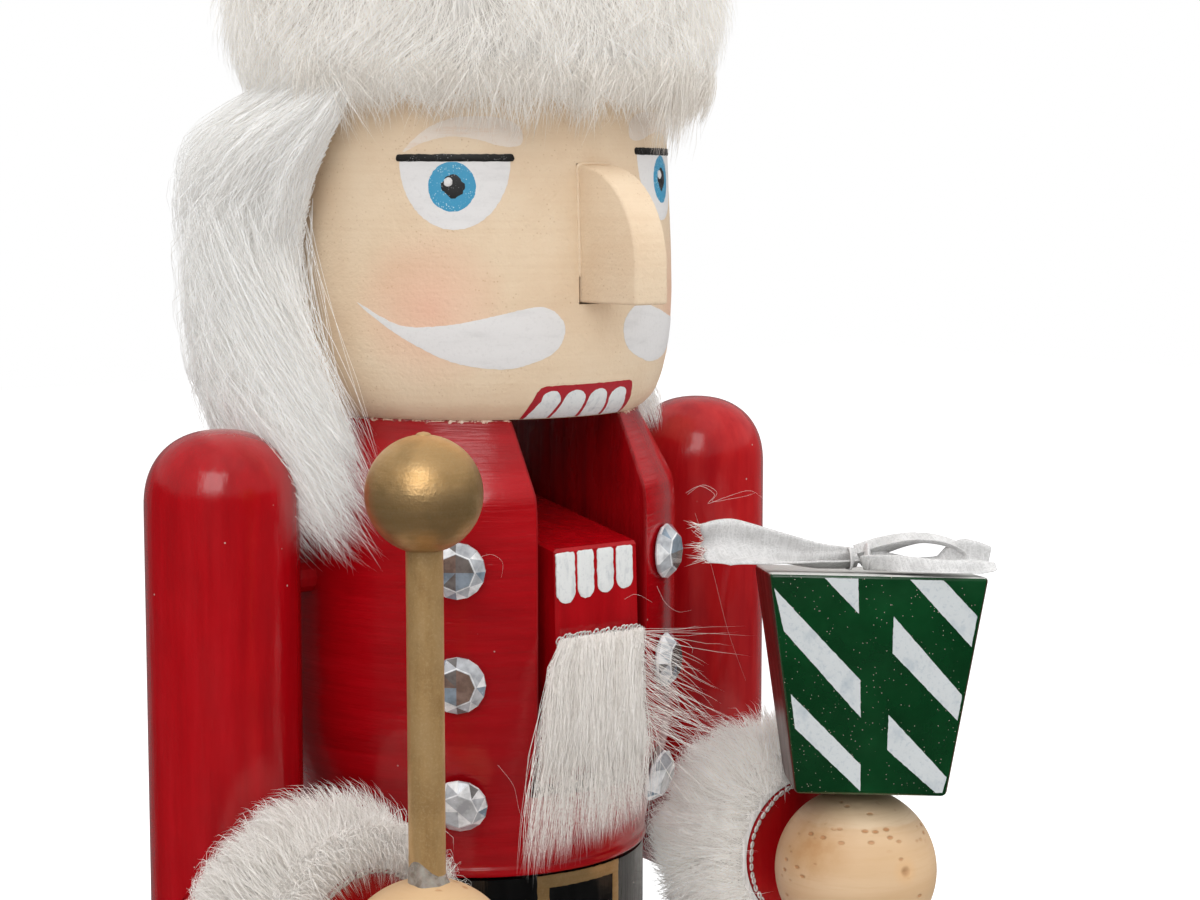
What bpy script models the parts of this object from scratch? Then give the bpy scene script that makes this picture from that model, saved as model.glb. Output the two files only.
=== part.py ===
"""Santa nutcracker figure, 0.5 m tall, as separate glued, dowelled and hinged pieces.

Frame: metres, +Z up, the figure faces -Y and its own right hand is at -X.
The origin is on the underside of the base, straight below the axis of the torso.
"""

import math

import bmesh
import bpy
from mathutils import Matrix, Vector

# Driving dimensions
GAP = 0.0003  # clearance between pieces that touch
SEAT = 0.350  # height of the joint between torso and head

BASE_WIDTH = 0.120
BASE_DEPTH = 0.110
BASE_HEIGHT = 0.024
BASE_CENTRE_Y = -0.007
BASE_CHAMFER = 0.004

LEG_X = 0.0225
LEG_TOP = 0.196
BOOT_RADIUS = 0.0168
BOOT_TOP = 0.106
TROUSER_RADIUS = 0.0156
HIPS_TOP = SEAT - 0.0808

TORSO_RADIUS = 0.037
TORSO_TOP_RADIUS = 0.030
SLOT_HALF_WIDTH = 0.01184
SLOT_FLOOR = SEAT - 0.066

JAW_PIVOT_Y = 0.028
JAW_PIVOT_Z = SEAT - 0.030
JAW_OPEN_DEG = 20.0
JAW_HALF_WIDTH = 0.0093
JAW_SHIFT = 0.0005  # the lever sits a little to the figure's left in its slot
JAW_PIN_RADIUS = 0.003

HEAD_TOP = SEAT + 0.061
NOSE_WIDTH = 0.0072
NOSE_REACH = 0.051

ARM_X = 0.05416
ARM_RADIUS = 0.01345
ARM_TOP = SEAT - 0.0009
FOREARM_Z = SEAT - 0.0845
TOE_IN_DEG = 6.68
HAND_RADIUS = 0.0149
HAND_REACH = 0.05296
FOREARM_END = HAND_REACH - HAND_RADIUS - GAP
CUFF_START = 0.0144
CUFF_END = 0.0328
CUFF_RADIUS = 0.0236

ROD_RADIUS = 0.0030
SCEPTRE_RADIUS = 0.0095
SCEPTRE_HEIGHT = SEAT - 0.0078

BOX_TOP_SIDE = 0.0392
BOX_BOTTOM_SIDE = 0.0272
BOX_HEIGHT = 0.0398
BOX_YAW_DEG = -38.7
BOX_TILT_DEG = -6.5
BOX_ROLL_DEG = 1.2

GEM_RADIUS = 0.005
GEM_HEIGHT = 0.0025
GEM_HEIGHTS = {"upper": -0.025, "middle": -0.045, "lower": -0.0665}

SIDES = {"right": -1, "left": 1}

# Sides of the polygons that stand for round sections, by size
WIDE = 48
MIDDLE = 28
SMALL = 20
PIN = 12

# Colour (linear RGB), roughness and metallic value of each finish
FINISHES = {
    "red_lacquer": ((0.38, 0.004, 0.009), 0.18, 0.0),
    "black_gloss": ((0.006, 0.006, 0.007), 0.15, 0.0),
    "green_gloss": ((0.006, 0.09, 0.025), 0.22, 0.0),
    "skin_paint": ((0.80, 0.57, 0.36), 0.55, 0.0),
    "gold_paint": ((0.33, 0.20, 0.075), 0.38, 0.75),
    "bare_wood": ((0.72, 0.52, 0.31), 0.5, 0.0),
    "white_fur": ((0.82, 0.80, 0.78), 0.9, 0.0),
    "white_ribbon": ((0.78, 0.78, 0.77), 0.6, 0.0),
    "clear_gem": ((0.75, 0.80, 0.84), 0.04, 0.3),
    "steel": ((0.55, 0.55, 0.57), 0.35, 1.0),
}


def clear_scene():
    for obj in list(bpy.data.objects):
        bpy.data.objects.remove(obj, do_unlink=True)


def finish(name):
    """The Principled material called name, made once."""
    found = bpy.data.materials.get(name)
    if found:
        return found
    colour, roughness, metallic = FINISHES[name]
    made = bpy.data.materials.new(name)
    made.use_nodes = True
    shader = made.node_tree.nodes["Principled BSDF"]
    shader.inputs["Base Color"].default_value = (*colour, 1.0)
    shader.inputs["Roughness"].default_value = roughness
    shader.inputs["Metallic"].default_value = metallic
    return made


def add(name, bm, finish_name, parent=None, matrix=None):
    """Turns a bmesh into an object with outward faces, shaded smooth up to 35 degrees."""
    bmesh.ops.recalc_face_normals(bm, faces=bm.faces)
    mesh = bpy.data.meshes.new(name)
    bm.to_mesh(mesh)
    bm.free()
    mesh.materials.append(finish(finish_name))
    mesh.shade_smooth()
    mesh.set_sharp_from_angle(angle=math.radians(35))
    obj = bpy.data.objects.new(name, mesh)
    bpy.context.scene.collection.objects.link(obj)
    obj.parent = parent
    if matrix is not None:
        obj.matrix_local = matrix
    return obj


def frame_at(name, location, rotation_deg=(0, 0, 0)):
    """An empty that holds the pieces of one assembly."""
    empty = bpy.data.objects.new(name, None)
    empty.location = location
    empty.rotation_euler = [math.radians(angle) for angle in rotation_deg]
    bpy.context.scene.collection.objects.link(empty)
    return empty


def cut(obj, cutter, operation="DIFFERENCE"):
    """Cuts obj by cutter, which stays in the scene as a wire guide."""
    cutter.hide_render = True
    cutter.display_type = "WIRE"
    modifier = obj.modifiers.new(cutter.name, "BOOLEAN")
    modifier.operation = operation
    modifier.solver = "EXACT"
    modifier.object = cutter


def smooth_profile(points, steps=2):
    """A Catmull-Rom curve through (radius, height) points."""
    ends = [points[0], *points, points[-1]]
    curve = []
    for before, start, end, after in zip(ends, ends[1:], ends[2:], ends[3:]):
        for step in range(steps):
            t = step / steps
            curve.append(
                tuple(
                    0.5
                    * (
                        2 * s
                        + (e - b) * t
                        + (2 * b - 5 * s + 4 * e - a) * t**2
                        + (3 * s - b - 3 * e + a) * t**3
                    )
                    for b, s, e, a in zip(before, start, end, after)
                )
            )
    return [*curve, points[-1]]


def turned(profile, segments, shear=None):
    """A solid of revolution about Z. profile runs from the bottom up as (radius, height).

    A radius of 0 closes the end at a point, any other end is a flat cap.
    shear moves a point of the first ring along Z, for a mitred end.
    """
    bm = bmesh.new()
    rings = []
    for index, (radius, height) in enumerate(profile):
        if radius == 0:
            rings.append([bm.verts.new((0, 0, height))])
            continue
        ring = []
        for step in range(segments):
            angle = 2 * math.pi * step / segments
            x = radius * math.cos(angle)
            y = radius * math.sin(angle)
            lift = shear(x, y) if shear and index == 0 else 0.0
            ring.append(bm.verts.new((x, y, height + lift)))
        rings.append(ring)
    for low, high in zip(rings, rings[1:]):
        for step in range(segments):
            after = (step + 1) % segments
            if len(low) == 1:
                corners = (low[0], high[after], high[step])
            elif len(high) == 1:
                corners = (low[step], low[after], high[0])
            else:
                corners = (low[step], low[after], high[after], high[step])
            bm.faces.new(corners)
    for ring in (rings[0], rings[-1]):
        if len(ring) > 1:
            bm.faces.new(ring)
    return bm


def ring_solid(section, segments):
    """A closed (radius, height) section spun all the way round Z."""
    return swept_section(section, segments, 0.0, 2 * math.pi)


def swept_section(section, segments, start, end):
    """A closed (radius, height) section spun about Z from start to end, with end caps if it stays open."""
    bm = bmesh.new()
    whole = math.isclose(end - start, 2 * math.pi)
    count = segments if whole else segments + 1
    rings = []
    for step in range(count):
        angle = start + (end - start) * step / segments
        direction = Vector((math.cos(angle), math.sin(angle), 0))
        rings.append([bm.verts.new(direction * r + Vector((0, 0, z))) for r, z in section])
    for step in range(segments):
        low = rings[step]
        high = rings[(step + 1) % count]
        for index in range(len(section)):
            after = (index + 1) % len(section)
            bm.faces.new((low[index], low[after], high[after], high[index]))
    if not whole:
        bm.faces.new(rings[0])
        bm.faces.new(rings[-1])
    return bm


def rounded_section(inner, outer, low, high, points=5):
    """Section of a fur ring: flat inside, a half ellipse outside."""
    middle = (low + high) / 2
    half = (high - low) / 2
    side = inner + 0.25 * (outer - inner)
    section = [(inner, low), (inner, high)]
    for step in range(points + 1):
        angle = math.pi / 2 - math.pi * step / points
        section.append((side + (outer - side) * math.cos(angle), middle + half * math.sin(angle)))
    return section


def prism(outline, half_width):
    """A (y, z) outline extruded along X to both sides."""
    bm = bmesh.new()
    near = [bm.verts.new((-half_width, y, z)) for y, z in outline]
    far = [bm.verts.new((half_width, y, z)) for y, z in outline]
    bm.faces.new(near)
    bm.faces.new(far)
    for index in range(len(outline)):
        after = (index + 1) % len(outline)
        bm.faces.new((near[index], near[after], far[after], far[index]))
    bmesh.ops.recalc_face_normals(bm, faces=bm.faces)
    return bm


def lofted(sections):
    """Rings of equal length joined one after another, with flat ends."""
    bm = bmesh.new()
    rings = [[bm.verts.new(point) for point in section] for section in sections]
    count = len(rings[0])
    for low, high in zip(rings, rings[1:]):
        for index in range(count):
            after = (index + 1) % count
            bm.faces.new((low[index], low[after], high[after], high[index]))
    bm.faces.new(rings[0])
    bm.faces.new(rings[-1])
    return bm


def arc(centre, radius, start_deg, end_deg, steps):
    """Points on an arc in a plane, radius being a number or an (a, b) pair of half axes."""
    a, b = radius if isinstance(radius, tuple) else (radius, radius)
    points = []
    for step in range(steps + 1):
        angle = math.radians(start_deg + (end_deg - start_deg) * step / steps)
        points.append((centre[0] + a * math.cos(angle), centre[1] + b * math.sin(angle)))
    return points


def box(low, high):
    bm = bmesh.new()
    size = Vector(high) - Vector(low)
    centre = (Vector(high) + Vector(low)) / 2
    matrix = Matrix.Translation(centre) @ Matrix.Diagonal((*size, 1.0))
    bmesh.ops.create_cube(bm, size=1.0, matrix=matrix)
    return bm


def along(start, end):
    """The matrix that puts +Z on the line from start to end, with its origin at start."""
    direction = Vector(end) - Vector(start)
    turn = direction.to_track_quat("Z", "Y").to_matrix().to_4x4()
    return Matrix.Translation(start) @ turn


def dowel(name, radius, start, end, hosts, parent=None, finish_name="bare_wood"):
    """A round pin from start to end, and the bores it needs in the pieces that it joins."""
    length = (Vector(end) - Vector(start)).length
    matrix = along(start, end)
    pin = add(name, turned([(radius, 0), (radius, length)], PIN), finish_name, parent, matrix)
    bore_profile = [(radius + GAP, -GAP), (radius + GAP, length + GAP)]
    bore = add(name + "_bore", turned(bore_profile, PIN), finish_name, parent, matrix)
    for host in hosts:
        cut(host, bore)
    return pin


def make_base():
    """The plinth, with chamfered upper edges."""
    half_width = BASE_WIDTH / 2
    front = BASE_CENTRE_Y - BASE_DEPTH / 2
    back = BASE_CENTRE_Y + BASE_DEPTH / 2
    bm = box((-half_width, front, 0), (half_width, back, BASE_HEIGHT))
    upper = [edge for edge in bm.edges if min(v.co.z for v in edge.verts) > 0.5 * BASE_HEIGHT]
    bmesh.ops.bevel(bm, geom=upper, offset=BASE_CHAMFER, segments=3, affect="EDGES", profile=0.6)
    return add("base", bm, "green_gloss")


def make_leg(side, sign):
    """Boot and trouser leg, turned from one rod."""
    foot = BASE_HEIGHT + GAP
    profile = [
        (BOOT_RADIUS, foot),
        (BOOT_RADIUS, foot + 0.030),
        (BOOT_RADIUS - 0.0018, foot + 0.044),
        (BOOT_RADIUS - 0.0008, foot + 0.062),
        (BOOT_RADIUS, BOOT_TOP - 0.002),
        (BOOT_RADIUS - 0.0006, BOOT_TOP),
        (TROUSER_RADIUS, BOOT_TOP + 0.0008),
        (TROUSER_RADIUS, LEG_TOP - GAP),
    ]
    leg = add("leg_" + side, turned(profile, MIDDLE), "red_lacquer")
    leg.location.x = sign * LEG_X
    return leg


def make_shoe(side, sign, leg_guide):
    """The toe cap in front of a boot: a half oval, lower at the tip."""
    width = 0.0165
    sections = []
    for share, height in ((1.0, BASE_HEIGHT + GAP), (1.0, 0.036), (0.93, 0.041), (0.72, 0.0455)):
        outline = [(width * share, -0.004), *arc((0, -0.018), (width * share, 0.026 * share), 0, -180, 16)]
        outline.append((-width * share, -0.004))
        sections.append([(x, y, height) for x, y in outline])
    shoe = add("shoe_" + side, lofted(sections), "black_gloss")
    shoe.location.x = sign * LEG_X
    cut(shoe, leg_guide)
    return shoe


def make_boot_fur(side, sign):
    """The fur trim round the top of a boot."""
    section = rounded_section(BOOT_RADIUS + 0.0004, 0.0219, BOOT_TOP - 0.014, BOOT_TOP + 0.008)
    fur = add("boot_fur_" + side, ring_solid(section, SMALL), "white_fur")
    fur.location.x = sign * LEG_X
    return fur


def make_base_screw(side, sign, hosts):
    """A countersunk screw from under the base into the leg, and its stepped hole."""
    head_low = 0.0030
    shank_top = 0.052
    head = [(0.0040, head_low), (0.0040, head_low + 0.0008), (0.0020, head_low + 0.0032)]
    screw = add("base_screw_" + side, turned([*head, (0.0020, shank_top), (0, shank_top + 0.003)], PIN), "steel")
    hole = [
        (0.0040 + GAP, -0.001),
        (0.0040 + GAP, head_low + 0.0012),
        (0.0020 + GAP, head_low + 0.0036),
        (0.0020 + GAP, shank_top + 0.0036),
    ]
    bore = add("base_screw_hole_" + side, turned(hole, PIN), "steel")
    for obj in (screw, bore):
        obj.location.x = sign * LEG_X
    for host in hosts:
        cut(host, bore)


def make_lower_body():
    """Base, boots and legs. Returns the legs."""
    base = make_base()
    legs = {}
    for side, sign in SIDES.items():
        guide_profile = [(BOOT_RADIUS + GAP, 0.01), (BOOT_RADIUS + GAP, 0.06)]
        leg_guide = add("shoe_cutter_" + side, turned(guide_profile, MIDDLE), "black_gloss")
        leg_guide.location.x = sign * LEG_X
        legs[side] = make_leg(side, sign)
        make_shoe(side, sign, leg_guide)
        make_boot_fur(side, sign)
        make_base_screw(side, sign, (base, legs[side]))
    return legs


def make_hips(legs):
    """Belt and coat skirt in one turned block, on the two legs."""
    belt_low = HIPS_TOP - 0.0225
    profile = [
        (0.0385, LEG_TOP),
        (0.0405, LEG_TOP + 0.0020),
        (0.0402, LEG_TOP + 0.0060),
        (0.0372, LEG_TOP + 0.0240),
        (0.0345, LEG_TOP + 0.0400),
        (0.0334, belt_low),
        (0.0312, belt_low + 0.0008),
        (0.0312, HIPS_TOP - 2 * GAP),
    ]
    hips = add("hips", turned(profile, WIDE), "red_lacquer")
    for side, sign in SIDES.items():
        start = (sign * LEG_X, 0, LEG_TOP - 0.016)
        end = (sign * LEG_X, 0, LEG_TOP + 0.014)
        dowel("hip_dowel_" + side, 0.005, start, end, (hips, legs[side]))
    return hips


def make_torso():
    """The coat block, turned, with the jaw's slot sawn through it from front to back."""
    bottom = [
        (0.0313, HIPS_TOP),
        (0.0318, HIPS_TOP + 0.0005),
        (0.0318, HIPS_TOP + 0.0014),
        (0.0314, HIPS_TOP + 0.0019),
    ]
    flank = smooth_profile(
        [
            (0.0316, HIPS_TOP + 0.0028),
            (0.0323, SEAT - 0.0740),
            (0.0350, SEAT - 0.0650),
            (0.0366, SEAT - 0.0585),
            (TORSO_RADIUS, SEAT - 0.0530),
        ]
    )
    shoulder = [
        (TORSO_RADIUS, SEAT - 0.0165),
        (0.03675, SEAT - 0.0136),
        (0.0364, SEAT - 0.0122),
        (TORSO_TOP_RADIUS, SEAT),
    ]
    torso = add("torso", turned([*bottom, *flank, *shoulder], WIDE), "red_lacquer")
    slot = box((-SLOT_HALF_WIDTH, -0.06, SLOT_FLOOR), (SLOT_HALF_WIDTH, 0.06, SEAT + 0.01))
    cut(torso, add("jaw_slot", slot, "red_lacquer"))
    return torso


def lever_outline():
    """Side outline of the lever with the jaw shut, as (y, z) from its pivot."""
    front = -JAW_PIVOT_Y
    shut_top = SEAT - JAW_PIVOT_Z
    jaw = [(front - 0.0440, shut_top - 0.0377), (front - 0.0289, shut_top - 0.0008)]
    shoulder = arc((0.0080, 0.0050), (0.0145, 0.0135), 88, 2, 6)
    grip = [(0.0212, -0.0700), (0.0222, -0.0900)]
    tip = arc((0.0196, -0.1000), (0.0052, 0.0060), 20, -190, 8)
    inner = [(0.0112, -0.0820), (0.0106, -0.0300)]
    elbow = arc((0.0046, -0.0260), (0.0060, 0.0052), -20, -90, 3)
    belly = [(front - 0.0405, shut_top - 0.0416)]
    return [*jaw, *shoulder, *grip, *tip, *inner, *elbow, *belly]


def make_jaw(torso):
    """The lever, its pin through the torso, and the beard glued to the jaw."""
    pivot = frame_at("jaw_pivot", (0, JAW_PIVOT_Y, JAW_PIVOT_Z), (JAW_OPEN_DEG, 0, 0))
    bm = prism(lever_outline(), JAW_HALF_WIDTH)
    bmesh.ops.translate(bm, verts=bm.verts, vec=(JAW_SHIFT, 0, 0))
    bmesh.ops.bevel(bm, geom=bm.edges[:], offset=0.0005, segments=1, affect="EDGES", profile=0.5)
    lever = add("jaw_lever", bm, "red_lacquer", pivot)
    reach = 0.030
    start = (-reach, JAW_PIVOT_Y, JAW_PIVOT_Z)
    end = (reach, JAW_PIVOT_Y, JAW_PIVOT_Z)
    pin = dowel("jaw_pin", JAW_PIN_RADIUS, start, end, (torso, lever))
    trim = [(TORSO_RADIUS - 0.0003, SEAT - 0.05), (TORSO_RADIUS - 0.0003, SEAT - 0.02)]
    cut(pin, add("pin_trim", turned(trim, WIDE), "bare_wood"), "INTERSECT")
    make_beard()


def make_beard():
    """The beard's outer shape: narrow where it is glued to the jaw, fanned out below."""
    beard_rows = (
        # depth below the seat, centre x, half width, back y, front y
        (0.0375, 0.0000, 0.0088, -0.0374, -0.0410),
        (0.0440, 0.0000, 0.0096, -0.0379, -0.0445),
        (0.0560, 0.0005, 0.0112, -0.0382, -0.0470),
        (0.0680, 0.0005, 0.0130, -0.0382, -0.0470),
        (0.0800, 0.0000, 0.0140, -0.0382, -0.0440),
    )
    sections = []
    for depth, x, half_width, back, front in beard_rows:
        section = []
        for step in range(16):
            angle = 2 * math.pi * step / 16
            across = math.copysign(abs(math.cos(angle)) ** 0.6, math.cos(angle))
            forward = math.copysign(abs(math.sin(angle)) ** 0.6, math.sin(angle))
            middle = (back + front) / 2
            y = middle + forward * (back - front) / 2
            section.append((x + half_width * across, y, SEAT - depth))
        sections.append(section)
    return add("beard", lofted(sections), "white_fur")


def make_head(torso):
    """The turned head with the nose set in a groove, on two dowels."""
    outline = smooth_profile(
        [
            (0.0300, SEAT + GAP),
            (0.0332, SEAT + 0.0032),
            (0.03545, SEAT + 0.0106),
            (0.0363, SEAT + 0.0217),
            (0.0358, SEAT + 0.0380),
            (0.0350, SEAT + 0.0540),
            (0.0345, HEAD_TOP),
        ]
    )
    head = add("head", turned(outline, WIDE), "skin_paint")
    root = -0.0323
    bottom = SEAT + 0.0208
    bridge = SEAT + 0.0270
    brow = SEAT + 0.0444
    ridge = arc((-0.0355, bridge), (NOSE_REACH - 0.0355, brow - bridge), 180, 90, 10)
    profile = [(root, bottom), (-NOSE_REACH, bottom), *ridge, (root, brow)]
    nose = prism(profile, NOSE_WIDTH / 2)
    bmesh.ops.bevel(nose, geom=nose.edges[:], offset=0.0003, segments=1, affect="EDGES", profile=0.5)
    add("nose", nose, "skin_paint")
    low = (-NOSE_WIDTH / 2 - GAP, -0.060, bottom - GAP)
    high = (NOSE_WIDTH / 2 + GAP, root + GAP, brow + GAP)
    cut(head, add("nose_groove", box(low, high), "skin_paint"))
    for side, sign in SIDES.items():
        x = sign * 0.0205
        start = (x, 0.009, SEAT - 0.012)
        end = (x, 0.009, SEAT + 0.014)
        dowel("neck_dowel_" + side, 0.003, start, end, (head, torso))
    return head


def make_hair():
    """Fur wig round the sides and back of the head, open over the face."""
    inner = 0.0368
    section = [
        (inner, SEAT + 0.0008),
        (inner, SEAT + 0.0556),
        (0.0455, SEAT + 0.0556),
        (0.0510, SEAT + 0.0510),
        (0.0545, SEAT + 0.0380),
        (0.0543, SEAT + 0.0180),
        (0.0520, SEAT + 0.0060),
        (0.0495, SEAT + 0.0008),
    ]
    start = math.radians(-8)
    end = math.radians(188)
    return add("hair", swept_section(section, MIDDLE, start, end), "white_fur")


def make_hat(head):
    """The turned crown of the hat, its fur band and the pompom."""
    plug = HEAD_TOP + GAP
    profile = [
        (0.0345, plug),
        (0.0350, SEAT + 0.0900),
        (0.0362, SEAT + 0.0990),
        (0.0358, SEAT + 0.1060),
        (0.0335, SEAT + 0.1130),
        (0.0290, SEAT + 0.1190),
        (0.0220, SEAT + 0.1240),
        (0.0120, SEAT + 0.1272),
        (0, SEAT + 0.1280),
    ]
    crown = add("hat_crown", turned(profile, WIDE), "red_lacquer")
    band = rounded_section(0.0368, 0.0465, SEAT + 0.0566, SEAT + 0.1000, 7)
    add("hat_fur_band", ring_solid(band, MIDDLE), "white_fur")
    pompom_radius = 0.0105
    centre = SEAT + 0.1285 + pompom_radius
    ball = [(0, centre - pompom_radius)]
    ball += [(pompom_radius * math.cos(a), centre + pompom_radius * math.sin(a)) for a in quarter_steps(6)]
    ball.append((0, centre + pompom_radius))
    add("hat_pompom", turned(ball, SMALL), "white_fur")
    dowel("hat_dowel", 0.004, (0, 0, HEAD_TOP - 0.010), (0, 0, HEAD_TOP + 0.014), (head, crown))


def quarter_steps(count):
    """count latitudes in radians, evenly spaced between the poles of a ball."""
    return [math.pi * (step + 1) / (count + 1) - math.pi / 2 for step in range(count)]


def ball_profile(radius, count=9):
    middle = [(radius * math.cos(a), radius * math.sin(a)) for a in quarter_steps(count)]
    return [(0, -radius), *middle, (0, radius)]


def make_arm(side, sign, torso):
    """One arm in its own frame: the upper arm's axis at the origin, the forearm along -Y."""
    arm = frame_at("arm_" + side, (sign * ARM_X, 0, 0), (0, 0, -sign * TOE_IN_DEG))
    dome_centre = ARM_TOP - ARM_RADIUS
    squareness = 2 / 2.3
    profile = [(ARM_RADIUS, FOREARM_Z + GAP)]
    for step in range(6):
        angle = math.pi / 2 * step / 6
        radius = ARM_RADIUS * math.cos(angle) ** squareness
        profile.append((radius, dome_centre + ARM_RADIUS * math.sin(angle) ** squareness))
    profile.append((0, ARM_TOP))
    upper = add("upper_arm_" + side, turned(profile, MIDDLE, lambda x, y: -y), "red_lacquer", arm)

    forearm_profile = [(ARM_RADIUS, GAP), (ARM_RADIUS, FOREARM_END - 0.0006), (ARM_RADIUS - 0.0006, FOREARM_END)]
    forward = along((0, 0, FOREARM_Z), (0, -1, FOREARM_Z))
    up = forward.to_3x3().inverted() @ Vector((0, 0, 1))
    forearm_mesh = turned(forearm_profile, MIDDLE, lambda x, y: x * up.x + y * up.y)
    forearm = add("forearm_" + side, forearm_mesh, "red_lacquer", arm, forward)

    cuff = rounded_section(ARM_RADIUS + 0.0004, CUFF_RADIUS, CUFF_START, CUFF_END)
    add("cuff_" + side, ring_solid(cuff, MIDDLE), "white_fur", arm, forward)

    centre = (0, -HAND_REACH, FOREARM_Z)
    hand = add("hand_" + side, turned(ball_profile(HAND_RADIUS), MIDDLE), "bare_wood", arm, Matrix.Translation(centre))

    elbow = 0.007
    elbow_start = (0, elbow, FOREARM_Z + elbow)
    elbow_end = (0, -elbow, FOREARM_Z - elbow)
    dowel("elbow_dowel_" + side, 0.0032, elbow_start, elbow_end, (upper, forearm), arm)
    wrist_start = (0, -HAND_REACH + 0.025, FOREARM_Z)
    wrist_end = (0, -HAND_REACH + 0.0062, FOREARM_Z)
    dowel("wrist_dowel_" + side, 0.0032, wrist_start, wrist_end, (forearm, hand), arm)
    shoulder_z = SEAT - 0.028
    start = (sign * 0.026, 0, shoulder_z)
    end = (sign * 0.050, 0, shoulder_z)
    dowel("shoulder_dowel_" + side, 0.003, start, end, (torso, upper), None, "red_lacquer")
    return hand


def hand_centre(sign):
    turn = math.radians(TOE_IN_DEG)
    x = sign * (ARM_X - HAND_REACH * math.sin(turn))
    return Vector((x, -HAND_REACH * math.cos(turn), FOREARM_Z))


def make_sceptre(hand):
    """A rod held upright in the right hand, its end showing through the ball on top."""
    foot = hand_centre(-1) + Vector((0, 0, 0.0045))
    ball_centre = Vector((-0.0473, -0.0514, SCEPTRE_HEIGHT))
    direction = (ball_centre - foot).normalized()
    profile = ball_profile(SCEPTRE_RADIUS, 7)
    ball = add("sceptre_ball", turned(profile, SMALL), "gold_paint", None, along(ball_centre, ball_centre + direction))
    tip = ball_centre + direction * (SCEPTRE_RADIUS + 0.0006)
    length = (tip - foot).length
    matrix = along(foot, tip)
    crown = [(ROD_RADIUS, length - 0.012), (0.0011, length - 0.0112), (0.0009, length)]
    add("sceptre_rod", turned([(ROD_RADIUS, 0), *crown], PIN), "gold_paint", None, matrix)
    bore = [(ROD_RADIUS + GAP, -GAP), (ROD_RADIUS + GAP, length - 0.0114), (0.0014, length - 0.0106)]
    cutter = add("sceptre_bore", turned([*bore, (0.0014, length + 0.002)], PIN), "gold_paint", None, matrix)
    for host in (hand, ball):
        cut(host, cutter)


def square_ring(side, height, shift=0.0):
    half = side / 2
    return [(shift + x * half, y * half, height) for x, y in ((-1, -1), (1, -1), (1, 1), (-1, 1))]


def make_gift(hand):
    """A tapered gift box on the left hand, tied with a ribbon bow."""
    rotation = (BOX_TILT_DEG, BOX_ROLL_DEG, BOX_YAW_DEG)
    gift = frame_at("gift", hand_centre(1), rotation)
    bottom = HAND_RADIUS + GAP
    top = bottom + BOX_HEIGHT
    shift = 0.001
    bm = lofted([square_ring(BOX_BOTTOM_SIDE, bottom, shift), square_ring(BOX_TOP_SIDE, top, shift)])
    bmesh.ops.bevel(bm, geom=bm.edges[:], offset=0.0007, segments=2, affect="EDGES", profile=0.5)
    block = add("gift_box", bm, "green_gloss", gift)
    dowel("gift_dowel", 0.003, (0, 0, 0.0070), (0, 0, bottom + 0.010), (hand, block), gift)

    bow_low = top + GAP
    bow_rows = (
        # x, half depth, height above the lid, thickness
        (-0.0310, 0.0030, 0.0016, 0.0062),
        (-0.0200, 0.0056, 0.0004, 0.0072),
        (-0.0060, 0.0050, 0.0000, 0.0062),
        (0.0050, 0.0070, 0.0000, 0.0080),
        (0.0140, 0.0064, 0.0000, 0.0080),
        (0.0215, 0.0030, 0.0000, 0.0050),
    )
    sections = []
    for x, half_depth, lift, thickness in bow_rows:
        section = []
        for step in range(10):
            angle = 2 * math.pi * step / 10
            y = -0.009 + half_depth * math.cos(angle)
            z = bow_low + lift + thickness / 2 * (1 + math.sin(angle))
            section.append((x, y, z))
        sections.append(section)
    add("gift_bow", lofted(sections), "white_ribbon", gift)


def make_gems():
    """Faceted stones glued down both fronts of the coat."""
    profile = [
        (GEM_RADIUS - 0.0002, 0),
        (GEM_RADIUS, 0.0003),
        (GEM_RADIUS, 0.0007),
        (GEM_RADIUS * 0.66, GEM_HEIGHT - 0.0003),
        (GEM_RADIUS * 0.58, GEM_HEIGHT),
    ]
    angles = {"right": -41.0, "left": 30.0}
    for side, angle in angles.items():
        for row, drop in GEM_HEIGHTS.items():
            tilt = math.radians(17 if row == "lower" else 0)
            distance = TORSO_RADIUS + 0.0003 - (0.0016 if row == "lower" else 0)
            turn = math.radians(angle)
            outward = Vector((math.sin(turn), -math.cos(turn), 0))
            normal = outward * math.cos(tilt) - Vector((0, 0, math.sin(tilt)))
            seat = outward * distance + Vector((0, 0, SEAT + drop))
            name = f"gem_{side}_{row}"
            add(name, turned(profile, 8), "clear_gem", None, along(seat, seat + normal))


def make_waist_dowel(torso, hips):
    start = (0, 0, HIPS_TOP - 0.018)
    end = (0, 0, HIPS_TOP + 0.009)
    dowel("waist_dowel", 0.006, start, end, (torso, hips))


def main():
    clear_scene()
    legs = make_lower_body()
    hips = make_hips(legs)
    torso = make_torso()
    make_waist_dowel(torso, hips)
    make_jaw(torso)
    head = make_head(torso)
    make_hair()
    make_hat(head)
    hands = {side: make_arm(side, sign, torso) for side, sign in SIDES.items()}
    make_sceptre(hands["right"])
    make_gift(hands["left"])
    make_gems()


main()
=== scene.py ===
"""Looks of the Santa nutcracker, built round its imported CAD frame.

Metres, +Z up. The figure faces -Y and its own right hand is at -X.
The seat is the joint of torso and head, and heights in mm are counted from it.
"""

import math

import bmesh
import bpy
import numpy as np
from mathutils import Matrix, Vector
from mathutils.geometry import delaunay_2d_cdt


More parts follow.
